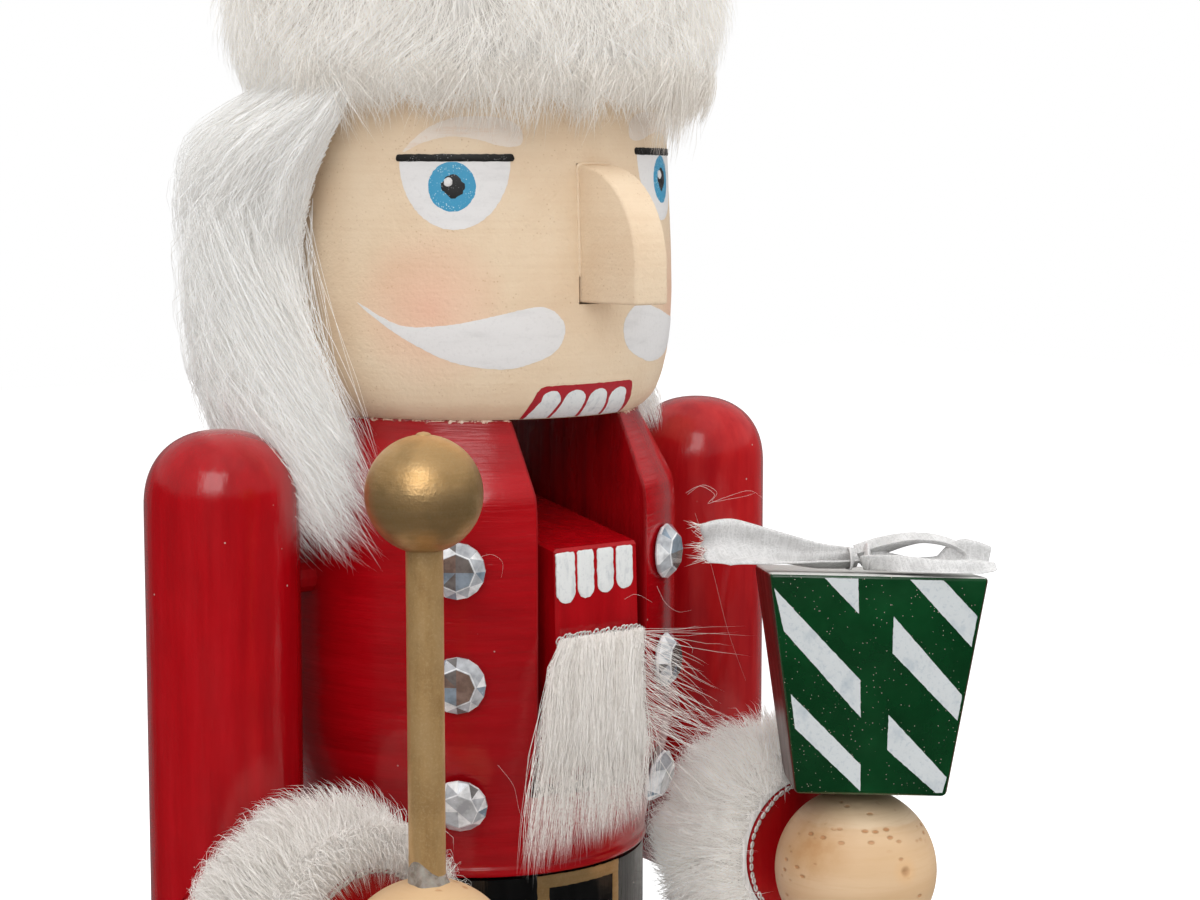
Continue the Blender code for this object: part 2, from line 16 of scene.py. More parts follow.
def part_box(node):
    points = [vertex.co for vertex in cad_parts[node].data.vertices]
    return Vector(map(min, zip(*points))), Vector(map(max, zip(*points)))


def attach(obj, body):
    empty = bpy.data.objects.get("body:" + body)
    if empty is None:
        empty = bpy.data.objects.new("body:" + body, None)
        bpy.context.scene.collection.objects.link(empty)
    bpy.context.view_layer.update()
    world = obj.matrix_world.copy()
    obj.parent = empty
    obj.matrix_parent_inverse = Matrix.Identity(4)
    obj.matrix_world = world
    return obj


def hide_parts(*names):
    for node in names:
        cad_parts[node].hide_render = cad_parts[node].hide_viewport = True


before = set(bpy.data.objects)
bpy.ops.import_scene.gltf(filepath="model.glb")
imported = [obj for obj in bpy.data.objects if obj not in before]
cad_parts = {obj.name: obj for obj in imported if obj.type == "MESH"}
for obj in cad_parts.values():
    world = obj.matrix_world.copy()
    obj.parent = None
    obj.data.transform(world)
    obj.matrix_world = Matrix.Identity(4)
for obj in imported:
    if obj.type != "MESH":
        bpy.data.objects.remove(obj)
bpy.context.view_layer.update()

MM = 0.001
RNG = np.random.default_rng(20)
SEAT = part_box("torso")[1].z
HIPS_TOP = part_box("torso")[0].z


def middle(node):
    """The centre of a CAD node's box."""
    low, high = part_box(node)
    return (low + high) / 2


# ---------------------------------------------------------------- camera, lights and floor


def linked(name, data):
    """A new object of the scene that holds this mesh, light or camera."""
    obj = bpy.data.objects.new(name, data)
    bpy.context.scene.collection.objects.link(obj)
    return obj


def make_camera():
    """From the figure's right, a little above its shoulders, looking slightly down."""
    azimuth = math.radians(-38.67)
    pitch = math.radians(6.12)
    data = bpy.data.cameras.new("camera")
    data.lens = 75.1
    data.sensor_width = 36.0
    camera = linked("camera", data)
    camera.location = (-0.27141, -0.37608, SEAT + 0.04157)
    camera.rotation_euler = (math.pi / 2 - pitch, 0, azimuth)
    bpy.context.scene.camera = camera


def area_light(name, location, target, size, power, reflected=True):
    """A rectangular light aimed at a point; reflected says whether gloss shows it."""
    data = bpy.data.lights.new(name, "AREA")
    data.shape = "RECTANGLE"
    data.size, data.size_y = size
    data.energy = power
    light = linked(name, data)
    light.location = location
    light.visible_glossy = reflected
    direction = Vector(target) - Vector(location)
    light.rotation_euler = direction.to_track_quat("-Z", "Y").to_euler()


def make_lights():
    """A soft key close to the camera's direction, a wide box overhead and a weaker one at the side."""
    target = (0, 0, SEAT - 0.02)
    area_light("key", (-0.80, -0.78, SEAT + 0.70), target, (0.75, 0.75), 5.2)
    area_light("overhead", (-0.05, -0.25, SEAT + 1.30), target, (1.3, 1.3), 11, False)
    area_light("side", (1.15, -0.55, SEAT + 0.30), target, (0.5, 0.9), 3.6, False)


def make_world():
    """White for the eye; for diffuse light a bright ceiling, for reflections a pale ceiling and backdrop."""
    world = bpy.data.worlds.new("studio")
    bpy.context.scene.world = world
    world.use_nodes = True
    nodes, links = world.node_tree.nodes, world.node_tree.links
    nodes.clear()
    direction = nodes.new("ShaderNodeTexCoord").outputs["Generated"]

    def towards(vector, stops):
        """Brightness by how far the direction points along a vector; stops run from -1 to 1."""
        dot = nodes.new("ShaderNodeVectorMath")
        dot.operation = "DOT_PRODUCT"
        links.new(direction, dot.inputs[0])
        dot.inputs[1].default_value = vector
        half = nodes.new("ShaderNodeMath")
        half.operation = "MULTIPLY_ADD"
        half.inputs[1].default_value = 0.5
        half.inputs[2].default_value = 0.5
        links.new(dot.outputs["Value"], half.inputs[0])
        ramp = nodes.new("ShaderNodeValToRGB")
        elements = ramp.color_ramp.elements
        while len(elements) < len(stops):
            elements.new(0.5)
        for element, (position, grey) in zip(elements, stops):
            element.position = (position + 1) / 2
            element.color = (grey, grey, grey, 1)
        links.new(half.outputs[0], ramp.inputs[0])
        return ramp.outputs[0]

    ceiling = towards((0, 0, 1), [(0.16, 0.02), (0.26, 0.36)])
    backdrop = towards((0.625, 0.781, 0), [(0.42, 0.0), (0.80, 0.18)])
    brighter = nodes.new("ShaderNodeMix")
    brighter.data_type = "RGBA"
    brighter.blend_type = "LIGHTEN"
    brighter.inputs[0].default_value = 1.0
    links.new(ceiling, brighter.inputs[6])
    links.new(backdrop, brighter.inputs[7])
    ambient = towards((0, 0, 1), [(-1, 0.24), (0, 0.51), (1, 0.92)])
    path = nodes.new("ShaderNodeLightPath")
    shaders = []
    for colour in (None, brighter.outputs[2], ambient):
        background = nodes.new("ShaderNodeBackground")
        if colour is None:
            background.inputs[0].default_value = (1, 1, 1, 1)
        else:
            links.new(colour, background.inputs[0])
        shaders.append(background.outputs[0])
    gloss = nodes.new("ShaderNodeMixShader")
    links.new(path.outputs["Is Glossy Ray"], gloss.inputs[0])
    links.new(shaders[2], gloss.inputs[1])
    links.new(shaders[1], gloss.inputs[2])
    eye = nodes.new("ShaderNodeMixShader")
    links.new(path.outputs["Is Camera Ray"], eye.inputs[0])
    links.new(gloss.outputs[0], eye.inputs[1])
    links.new(shaders[0], eye.inputs[2])
    out = nodes.new("ShaderNodeOutputWorld")
    links.new(eye.outputs[0], out.inputs[0])


def make_floor():
    """A plain white floor that runs into the white background, with a soft shadow under the base."""
    mesh = bpy.data.meshes.new("floor")
    mesh.from_pydata([(-4, -4, 0), (4, -4, 0), (4, 4, 0), (-4, 4, 0)], [], [(0, 1, 2, 3)])
    floor = linked("floor", mesh)
    floor.location.z = -0.0002
    made = bpy.data.materials.new("floor_white")
    made.use_nodes = True
    nodes, links = made.node_tree.nodes, made.node_tree.links
    nodes.clear()
    out = nodes.new("ShaderNodeOutputMaterial")
    path = nodes.new("ShaderNodeLightPath")
    white = nodes.new("ShaderNodeBsdfDiffuse")
    white.inputs[0].default_value = (0.70, 0.70, 0.70, 1)
    glow = nodes.new("ShaderNodeEmission")
    glow.inputs[1].default_value = 0.62
    both = nodes.new("ShaderNodeAddShader")
    links.new(white.outputs[0], both.inputs[0])
    links.new(glow.outputs[0], both.inputs[1])
    plain = nodes.new("ShaderNodeMixShader")
    links.new(path.outputs["Is Camera Ray"], plain.inputs[0])
    links.new(white.outputs[0], plain.inputs[1])
    links.new(both.outputs[0], plain.inputs[2])
    clear = nodes.new("ShaderNodeBsdfTransparent")
    gloss = nodes.new("ShaderNodeMixShader")
    links.new(path.outputs["Is Glossy Ray"], gloss.inputs[0])
    links.new(plain.outputs[0], gloss.inputs[1])
    links.new(clear.outputs[0], gloss.inputs[2])
    links.new(gloss.outputs[0], out.inputs[0])
    mesh.materials.append(made)


# ---------------------------------------------------------------- materials


class Tree:
    """A material's node tree, with short ways to add what these materials use."""

    def __init__(self, name):
        self.material = bpy.data.materials.new(name)
        self.material.use_nodes = True
        self.nodes = self.material.node_tree.nodes
        self.links = self.material.node_tree.links
        self.shader = self.nodes["Principled BSDF"]
        self.coordinates = self.nodes.new("ShaderNodeTexCoord").outputs["Object"]

    def set(self, **values):
        """Constants on the shader's own sockets; a double underscore stands for a space."""
        for name, value in values.items():
            self.shader.inputs[name.replace("__", " ")].default_value = value

    def stretched(self, scale, turn=(0, 0, 0)):
        """Object coordinates scaled along each axis, and turned by degrees about each."""
        node = self.nodes.new("ShaderNodeMapping")
        node.inputs["Scale"].default_value = scale
        node.inputs["Rotation"].default_value = [math.radians(a) for a in turn]
        self.links.new(self.coordinates, node.inputs["Vector"])
        return node.outputs[0]

    def noise(self, scale, detail=2.0, roughness=0.5, vector=None, distortion=0.0):
        """A cloudy pattern from 0 to 1."""
        node = self.nodes.new("ShaderNodeTexNoise")
        node.inputs["Scale"].default_value = scale
        node.inputs["Detail"].default_value = detail
        node.inputs["Roughness"].default_value = roughness
        node.inputs["Distortion"].default_value = distortion
        self.links.new(vector or self.coordinates, node.inputs["Vector"])
        return node.outputs[0]

    def cells(self, scale, vector=None):
        """Distance to the nearest point of a scatter of points."""
        node = self.nodes.new("ShaderNodeTexVoronoi")
        node.inputs["Scale"].default_value = scale
        self.links.new(vector or self.coordinates, node.inputs["Vector"])
        return node.outputs["Distance"]

    def ramp(self, value, stops):
        """Grey or colour by a value; stops are (position, grey or colour) pairs."""
        node = self.nodes.new("ShaderNodeValToRGB")
        elements = node.color_ramp.elements
        while len(elements) < len(stops):
            elements.new(0.5)
        for element, (position, colour) in zip(elements, stops):
            element.position = position
            grey = isinstance(colour, (int, float))
            element.color = (colour, colour, colour, 1) if grey else (*colour, 1)
        self.links.new(value, node.inputs[0])
        return node.outputs[0]

    def mix(self, factor, first, second):
        """Colour mix; first and second are sockets or colours."""
        node = self.nodes.new("ShaderNodeMix")
        node.data_type = "RGBA"
        sockets = node.inputs[0], node.inputs[6], node.inputs[7]
        for socket, value in zip(sockets, (factor, first, second)):
            if isinstance(value, bpy.types.NodeSocket):
                self.links.new(value, socket)
            elif isinstance(value, (int, float)):
                socket.default_value = value
            else:
                socket.default_value = (*value, 1)
        return node.outputs[2]

    def maths(self, operation, first, second=0.0):
        """One step of arithmetic on sockets or numbers."""
        node = self.nodes.new("ShaderNodeMath")
        node.operation = operation
        for socket, value in zip(node.inputs, (first, second)):
            if isinstance(value, bpy.types.NodeSocket):
                self.links.new(value, socket)
            else:
                socket.default_value = value
        return node.outputs[0]

    def near(self, point, radius):
        """1 at the point, falling smoothly to 0 at the radius."""
        gap = self.nodes.new("ShaderNodeVectorMath")
        gap.operation = "DISTANCE"
        self.links.new(self.coordinates, gap.inputs[0])
        gap.inputs[1].default_value = point
        share = self.maths("DIVIDE", gap.outputs["Value"], radius)
        return self.ramp(share, [(0.0, 1.0), (0.45, 0.55), (1.0, 0.0)])

    def colour(self, socket):
        """Links the shader's base colour."""
        self.links.new(socket, self.shader.inputs["Base Color"])

    def roughness(self, socket):
        """Links the shader's roughness."""
        self.links.new(socket, self.shader.inputs["Roughness"])

    def bump(self, *layers):
        """Links the shader's normal; layers are (height socket, depth in metres) pairs, coarse to fine."""
        normal = None
        for height, depth in layers:
            node = self.nodes.new("ShaderNodeBump")
            node.inputs["Distance"].default_value = depth
            self.links.new(height, node.inputs["Height"])
            if normal:
                self.links.new(normal, node.inputs["Normal"])
            normal = node.outputs[0]
        self.links.new(normal, self.shader.inputs["Normal"])


def lacquer(name, colours, rough=(0.12, 0.26), grain=(320, 320, 26), coat=0.5, dust=(260, 0.56, 0.035)):
    """Brushed gloss paint on turned wood: streaks, a wavy film and dust specks.

    colours are dark, plain and light; grain is the streaks' fineness along each axis; dust is the specks'
    fineness, how rare the dusty patches are, and the specks' size.
    """
    dark, plain, light = colours
    speck_scale, patch_level, speck_size = dust
    tree = Tree(name)
    tree.set(Coat__Weight=coat, Coat__Roughness=0.18, Specular__IOR__Level=0.35)
    streaks = tree.noise(1.0, 4, 0.6, tree.stretched(grain))
    blotches = tree.noise(70, 3, 0.6)
    base = tree.ramp(streaks, [(0.30, dark), (0.52, plain), (0.74, light)])
    base = tree.mix(tree.ramp(blotches, [(0.40, 0.0), (0.62, 0.4)]), base, dark)
    motes = tree.ramp(tree.cells(speck_scale), [(speck_size, 1.0), (speck_size + 0.02, 0.0)])
    sparse = tree.ramp(tree.noise(45, 1, 0.5), [(patch_level, 0.0), (patch_level + 0.04, 1.0)])
    specks = tree.maths("MULTIPLY", motes, sparse)
    tree.colour(tree.mix(specks, base, (0.55, 0.42, 0.38)))
    wear = tree.noise(1.0, 3, 0.6, tree.stretched((grain[0] * 0.5, grain[1] * 0.5, grain[2] * 1.4)))
    tree.roughness(tree.ramp(wear, [(0.35, rough[0]), (0.75, rough[1])]))
    ripple = tree.noise(1.0, 3, 0.6, tree.stretched((grain[0] * 1.6, grain[1] * 1.6, grain[2] * 2.5)))
    film, pinholes = tree.noise(120, 2, 0.5), tree.noise(1500, 2, 0.6)
    tree.bump((film, 0.00036), (ripple, 0.00016), (pinholes, 0.00002), (specks, 0.00005))
    return tree.material


def skin_paint(name, cheeks=()):
    """Satin paint over lathe-turned wood: faint rings, orange peel, a powdered blush on the cheeks."""
    tree = Tree(name)
    tree.set(Specular__IOR__Level=0.35)
    rings = tree.noise(1.0, 4, 0.6, tree.stretched((30, 30, 1300)))
    cloud = tree.noise(60, 4, 0.6)
    dark, plain, light = (0.72, 0.54, 0.37), (0.765, 0.60, 0.425), (0.785, 0.635, 0.465)
    base = tree.ramp(cloud, [(0.30, dark), (0.55, plain), (0.75, light)])
    base = tree.mix(tree.ramp(rings, [(0.34, 0.12), (0.54, 0.0)]), base, (0.62, 0.41, 0.25))
    pores = tree.ramp(tree.cells(1150), [(0.05, 0.6), (0.22, 0.0)])
    sparse = tree.ramp(tree.noise(130, 2, 0.5), [(0.46, 0.0), (0.60, 1.0)])
    base = tree.mix(tree.maths("MULTIPLY", pores, sparse), base, (0.50, 0.31, 0.17))
    for point in cheeks:
        powder = tree.maths("MULTIPLY", tree.near(point, 0.0145), 0.52)
        base = tree.mix(powder, base, (0.80, 0.36, 0.26))
    tree.colour(base)
    tree.roughness(tree.ramp(cloud, [(0.3, 0.42), (0.7, 0.56)]))
    peel = tree.noise(1150, 3, 0.65)
    pocks = tree.ramp(tree.cells(900), [(0.0, 0.0), (0.35, 1.0)])
    tree.bump((tree.noise(160, 2, 0.5), 0.00012), (rings, 0.00003), (pocks, 0.00004), (peel, 0.00018))
    return tree.material


def brushed_paint(name, colour, shade, rough=0.5, grain=(90, 90, 420), depth=0.00005):
    """Opaque hand paint, streaked by the brush and thin in places."""
    tree = Tree(name)
    strokes = tree.noise(1.0, 4, 0.65, tree.stretched(grain))
    speckle = tree.noise(1500, 2, 0.6)
    base = tree.ramp(strokes, [(0.26, shade), (0.46, colour), (0.8, tuple(min(1, c * 1.04) for c in colour))])
    tree.colour(tree.mix(tree.ramp(speckle, [(0.30, 0.45), (0.45, 0.0)]), base, shade))
    tree.roughness(tree.ramp(strokes, [(0.3, rough + 0.1), (0.7, rough)]))
    tree.bump((tree.noise(180, 2, 0.5), 0.00008), (strokes, depth), (speckle, 0.00004))
    return tree.material


def glitter_paint(name, colour, spark, amount=0.30):
    """Paint with fine bright flakes."""
    tree = Tree(name)
    flakes = tree.ramp(tree.cells(2600), [(amount, 1.0), (amount + 0.12, 0.0)])
    patchy = tree.ramp(tree.noise(700, 2, 0.6), [(0.45, 0.0), (0.60, 1.0)])
    share = tree.maths("MULTIPLY", flakes, patchy)
    tree.colour(tree.mix(share, colour, spark))
    tree.roughness(tree.ramp(tree.noise(900, 2, 0.5), [(0.3, 0.3), (0.7, 0.55)]))
    tree.bump((share, 0.00004),)
    return tree.material


BRONZE = ((0.46, 0.27, 0.105), (0.60, 0.37, 0.155), (0.68, 0.45, 0.22))
# Lighter bronze for the sceptre ball: partly its own brighter gold, partly painted highlight that lifts its
# shine.
LIT_BRONZE = ((0.64, 0.40, 0.16), (0.74, 0.46, 0.20), (0.80, 0.53, 0.25))


def gold_paint(name, grain=(40, 40, 700), colours=BRONZE, metal=0.74, rough=(0.44, 0.33)):
    """Bronze-gold metallic paint laid on with a brush, its flakes catching the light.

    colours are dark, plain and light; rough is the roughness between brush strokes and on them.
    """
    tree = Tree(name)
    tree.set(Metallic=metal)
    strokes = tree.noise(1.0, 5, 0.65, tree.stretched(grain))
    flakes = tree.noise(2400, 3, 0.7)
    patches = tree.noise(110, 3, 0.6)
    base = tree.ramp(strokes, [(0.28, colours[0]), (0.46, colours[1]), (0.76, colours[2])])
    base = tree.mix(tree.ramp(patches, [(0.35, 0.40), (0.55, 0.0)]), base, (0.33, 0.19, 0.07))
    base = tree.mix(tree.ramp(flakes, [(0.50, 0.0), (0.72, 0.35)]), base, (0.80, 0.60, 0.34))
    tree.colour(base)
    tree.roughness(tree.ramp(strokes, [(0.3, rough[0]), (0.7, rough[1])]))
    tree.bump((tree.noise(300, 3, 0.6), 0.00014), (strokes, 0.00006), (flakes, 0.00003))
    return tree.material


def bare_wood(name, stains=(), knots=(), seam=None):
    """Pale turned wood: level growth bands, fine fibres, short pores.

    stains and knots are points. Below the height seam the wood is a shade darker, with a row of pits
    along it.
    """
    tree = Tree(name)
    tree.set(Specular__IOR__Level=0.4)
    bands = tree.noise(1.0, 2, 0.5, tree.stretched((10, 10, 95), (6, -4, 0)), 0.6)
    fibre = tree.noise(1.0, 5, 0.7, tree.stretched((70, 70, 1300), (6, -4, 0)))
    dark, plain, light = (0.60, 0.40, 0.22), (0.72, 0.53, 0.34), (0.79, 0.62, 0.43)
    base = tree.ramp(bands, [(0.34, dark), (0.50, plain), (0.68, light)])
    base = tree.mix(tree.ramp(fibre, [(0.32, 0.40), (0.50, 0.0)]), base, (0.58, 0.37, 0.19))
    pores = tree.ramp(tree.cells(520, tree.stretched((0.6, 0.6, 1.2))), [(0.13, 1.0), (0.24, 0.0)])
    sparse = tree.ramp(tree.noise(170, 2, 0.5), [(0.56, 0.0), (0.63, 0.8)])
    if seam is not None:
        height = tree.nodes.new("ShaderNodeSeparateXYZ")
        tree.links.new(tree.coordinates, height.inputs[0])
        wavy = tree.maths("ADD", height.outputs["Z"], tree.maths("MULTIPLY", tree.noise(110, 3, 0.6), 0.0028))
        level = tree.maths("MULTIPLY", tree.maths("SUBTRACT", wavy, seam + 0.0014), 100.0)
        below = tree.ramp(tree.maths("ADD", level, 0.5), [(0.48, 0.55), (0.52, 0.0)])
        base = tree.mix(below, base, (0.66, 0.43, 0.24))
        row = tree.ramp(tree.maths("ADD", level, 0.5), [(0.10, 0.0), (0.34, 0.9), (0.46, 1.0), (0.54, 0.0)])
        broken = tree.ramp(tree.noise(260, 2, 0.5), [(0.34, 0.0), (0.42, 1.0)])
        sparse = tree.maths("MAXIMUM", sparse, tree.maths("MULTIPLY", row, broken))
    for point in stains:
        round_spot = tree.near(point, 0.0090)
        ragged = tree.ramp(tree.noise(300, 3, 0.6), [(0.35, 0.4), (0.6, 1.0)])
        ragged = tree.maths("MULTIPLY", round_spot, ragged)
        base = tree.mix(tree.maths("MULTIPLY", ragged, 0.85), base, (0.50, 0.26, 0.10))
    for point in knots:
        base = tree.mix(tree.maths("MULTIPLY", tree.near(point, 0.0030), 0.8), base, (0.70, 0.42, 0.20))
        base = tree.mix(tree.near(point, 0.0012), base, (0.34, 0.16, 0.06))
    pits = tree.maths("MULTIPLY", pores, sparse)
    tree.colour(tree.mix(pits, base, (0.50, 0.24, 0.10)))
    tree.roughness(tree.ramp(fibre, [(0.3, 0.58), (0.7, 0.42)]))
    tree.bump((fibre, 0.00003), (tree.maths("SUBTRACT", 1.0, pits), 0.00020))
    return tree.material


# Colour of the painted glow given off by the fur fibres and their root layer.
WARM_PAINTED_GLOW = (1.0, 0.985, 0.96, 1)


def flat_fibre(name, colour, glow):
    """One tone of fur fibre, a strand in one even colour; glow is painted light, an emission that stands in
    for light scattered in the pile.
    """
    tree = Tree(name)
    tree.set(Base__Color=(*colour, 1), Roughness=0.6, Specular__IOR__Level=0.25)
    tree.set(Emission__Color=WARM_PAINTED_GLOW, Emission__Strength=glow)
    return tree.material


def fibre_tones(name, glow, tint=(1.0, 1.0, 1.0)):
    """The four tones mixed in one fur."""
    tones = (
        ("white", (0.93, 0.92, 0.90), 1.0),
        ("pale", (0.86, 0.845, 0.82), 1.0),
        ("grey", (0.76, 0.735, 0.70), 0.7),
        ("bright", (0.98, 0.98, 0.97), 1.0),
    )
    return [
        flat_fibre(name + "_" + tone, tuple(c * t for c, t in zip(colour, tint)), glow * share)
        for tone, colour, share in tones
    ]


def fur_ground(name, colour, shade):
    """The dense root layer of the pile, seen between the strands."""
    tree = Tree(name)
    # The root layer's emission is a painted glow, standing in for light scattered between the strands.
    tree.set(Roughness=0.95, Specular__IOR__Level=0.1, Emission__Color=WARM_PAINTED_GLOW, Emission__Strength=0.08)
    hairs = tree.noise(1.0, 4, 0.7, tree.stretched((1600, 1600, 120)))
    tree.colour(tree.ramp(hairs, [(0.35, shade), (0.62, colour)]))
    tree.bump((hairs, 0.0004),)
    return tree.material


def knit(name):
    """White knitted backing at the cut edge of the fur."""
    tree = Tree(name)
    tree.set(Roughness=0.9)
    loops = tree.cells(1300)
    tree.colour(tree.ramp(loops, [(0.15, (0.86, 0.85, 0.83)), (0.6, (0.66, 0.64, 0.61))]))
    tree.bump((loops, 0.0002),)
    return tree.material


def ribbon_cloth(name):
    """Fine plain weave, slightly shiny."""
    tree = Tree(name)
    tree.set(Roughness=0.5, Sheen__Weight=0.2, Alpha=0.95)
    warp = tree.noise(1.0, 2, 0.5, tree.stretched((4200, 500, 500)))
    weft = tree.noise(1.0, 2, 0.5, tree.stretched((500, 4200, 4200)))
    weave = tree.maths("MAXIMUM", warp, weft)
    crumple = tree.noise(300, 3, 0.6)
    base = tree.ramp(weave, [(0.42, (0.56, 0.555, 0.55)), (0.62, (0.73, 0.725, 0.72))])
    tree.colour(tree.mix(tree.ramp(crumple, [(0.36, 0.35), (0.55, 0.0)]), base, (0.47, 0.465, 0.46)))
    tree.bump((crumple, 0.00020), (weave, 0.00006))
    return tree.material


def reflection_facet(name, colour, metallic):
    """One facet tone of a clear stone over its mirrored back, seen through a polished face: a painted
    reflection.
    """
    tree = Tree(name)
    tree.set(Metallic=metallic, Coat__Weight=1.0, Coat__Roughness=0.02)
    haze = tree.noise(420, 3, 0.6)
    low = tuple(c * 0.72 for c in colour)
    high = tuple(min(1.0, c * 1.2) for c in colour)
    tree.colour(tree.ramp(haze, [(0.36, low), (0.50, colour), (0.64, high)]))
    tree.roughness(tree.ramp(haze, [(0.3, 0.10), (0.7, 0.28)]))
    tree.bump((tree.noise(900, 2, 0.5), 0.00002),)
    return tree.material


def seam_paint(name):
    """The ragged line where two coats of paint were pulled apart: red with bare cream chips."""
    tree = Tree(name)
    tree.set(Coat__Weight=0.3)
    chips = tree.noise(620, 3, 0.65)
    paint, edge, bare = (0.30, 0.012, 0.012), (0.66, 0.42, 0.30), (0.82, 0.66, 0.55)
    tree.colour(tree.ramp(chips, [(0.47, paint), (0.53, edge), (0.66, bare)]))
    tree.roughness(tree.ramp(chips, [(0.4, 0.25), (0.6, 0.6)]))
    tree.bump((chips, 0.0002),)
    return tree.material


def dry_glue(name):
    """Clear grey-brown hot glue with a smooth skin."""
    tree = Tree(name)
    tree.set(Subsurface__Weight=0.2, Subsurface__Scale=0.001)
    lumps = tree.noise(600, 3, 0.6)
    tree.colour(tree.ramp(lumps, [(0.3, (0.19, 0.15, 0.12)), (0.7, (0.36, 0.33, 0.29))]))
    tree.roughness(tree.ramp(lumps, [(0.3, 0.2), (0.7, 0.4)]))
    tree.bump((lumps, 0.00015),)
    return tree.material


def zinc(name):
    """Dull zinc plating on the screws."""
    tree = Tree(name)
    tree.set(Metallic=1.0)
    haze = tree.noise(900, 3, 0.6)
    tree.colour(tree.ramp(haze, [(0.3, (0.42, 0.42, 0.44)), (0.7, (0.66, 0.66, 0.68))]))
    tree.roughness(tree.ramp(haze, [(0.3, 0.25), (0.7, 0.42)]))
    return tree.material


CHEEK_HEIGHT = SEAT + 19.8 * MM
CHEEKS = [(side * 0.0278, -0.0244, CHEEK_HEIGHT) for side in (-1, 1)]
RED_TONES = (0.31, 0.001, 0.004), (0.385, 0.0014, 0.005), (0.44, 0.003, 0.008)
# Lighter, paler red for the far sleeve only: painted sheen.
LIT_ARM_TONES = (0.38, 0.004, 0.008), (0.48, 0.011, 0.013), (0.55, 0.020, 0.020)
# Darker red inside the slot: painted shade in the recess.
SLOT_SHADE_TONES = (0.16, 0.001, 0.003), (0.27, 0.0015, 0.004), (0.33, 0.003, 0.006)
MAROON_TONES = (0.050, 0.010, 0.008), (0.105, 0.018, 0.014), (0.17, 0.045, 0.035)
BLACK_TONES = (0.002, 0.002, 0.002), (0.005, 0.005, 0.005), (0.011, 0.010, 0.010)
GREEN_TONES = (0.0010, 0.030, 0.007), (0.0020, 0.044, 0.011), (0.004, 0.060, 0.016)
RED = lacquer("red_lacquer", RED_TONES)
RED_ARM_LIT = lacquer("red_lacquer_arm_painted_sheen", LIT_ARM_TONES, grain=(320, 320, 40))
RED_TURNED = lacquer("red_lacquer_turned", RED_TONES, grain=(40, 40, 420))
SLOT_RED_SHADED = lacquer("red_in_slot_painted_shade", SLOT_SHADE_TONES, rough=(0.2, 0.4), coat=0.2)
MAROON = lacquer("dark_red_paint", MAROON_TONES, rough=(0.3, 0.5), coat=0.1)
BLACK = lacquer("black_gloss", BLACK_TONES, rough=(0.08, 0.18))
GREEN = lacquer("green_gloss", GREEN_TONES, (0.16, 0.30), (90, 90, 90), dust=(1250, 0.30, 0.085))
SKIN = skin_paint("skin_paint", CHEEKS)
NOSE_SKIN = skin_paint("skin_paint_sawn")
WHITE = brushed_paint("white_paint", (0.73, 0.71, 0.70), (0.65, 0.63, 0.62))
STRIPE_TONES = (0.58, 0.61, 0.62), (0.36, 0.42, 0.47)
STRIPE_WHITE = brushed_paint("white_stripe_paint", *STRIPE_TONES, grain=(150, 150, 110))
LID_WHITE = brushed_paint("grey_white_paint", (0.52, 0.52, 0.50), (0.36, 0.37, 0.35), grain=(60, 500, 60))
TOOTH = brushed_paint("tooth_paint", (0.72, 0.73, 0.72), (0.50, 0.52, 0.54), 0.35, (700, 700, 240), 0.0001)
GUM_RED = brushed_paint("gum_red_paint", (0.42, 0.006, 0.016), (0.28, 0.004, 0.010), 0.4)
LINE_BLACK = glitter_paint("lid_black_paint", (0.012, 0.011, 0.010), (0.30, 0.30, 0.30), 0.16)
PUPIL = glitter_paint("pupil_paint", (0.018, 0.017, 0.018), (0.45, 0.45, 0.45), 0.14)
IRIS = glitter_paint("iris_paint", (0.045, 0.30, 0.50), (0.45, 0.66, 0.74), 0.22)
GOLD = gold_paint("gold_paint")
# The ball's lighter bronze is partly painted highlight.
GOLD_BALL = gold_paint("gold_paint_ball_lit", colours=LIT_BRONZE, metal=0.86, rough=(0.46, 0.38))
GOLD_ROD = gold_paint("gold_paint_rod", (260, 260, 60), metal=0.55)
WOOD = bare_wood("bare_wood")
STAIN = (0.0352, -0.0545, SEAT - 0.0777)
KNOT = (0.0463, -0.0672, SEAT - 0.0819)
HAND_WOOD = bare_wood("bare_wood_marked", [STAIN], [KNOT], SEAT - 0.0745)
# Each fur's glow strength is painted light, set part by part and strongest on the hat and the far cuff. The
# fringe's darker, warmer tint is painted shade under the brim.
HAT_FIBRES = fibre_tones("hat_fibre", 0.16, (1.0, 0.98, 0.952))
SHADED_FRINGE_FIBRES = fibre_tones("fringe_fibre_painted_shade", 0.05, (0.97, 0.93, 0.88))
HAIR_FIBRES = fibre_tones("hair_fibre", 0.11)
CUFF_FIBRES = fibre_tones("cuff_fibre", 0.05, (0.99, 0.957, 0.928))
LIT_FAR_CUFF_FIBRES = fibre_tones("far_cuff_fibre_painted_light", 0.12, (1.0, 0.985, 0.962))
GROUND = fur_ground("fur_ground", (0.80, 0.78, 0.755), (0.50, 0.47, 0.44))
KNIT = knit("knit_backing")
RIBBON = ribbon_cloth("ribbon_cloth")
SEAM = seam_paint("chipped_seam")
BROW = brushed_paint("thin_white_paint", (0.76, 0.66, 0.57), (0.72, 0.55, 0.42), grain=(60, 60, 700))
GLUE = dry_glue("dry_glue")
ZINC = zinc("zinc_plate")
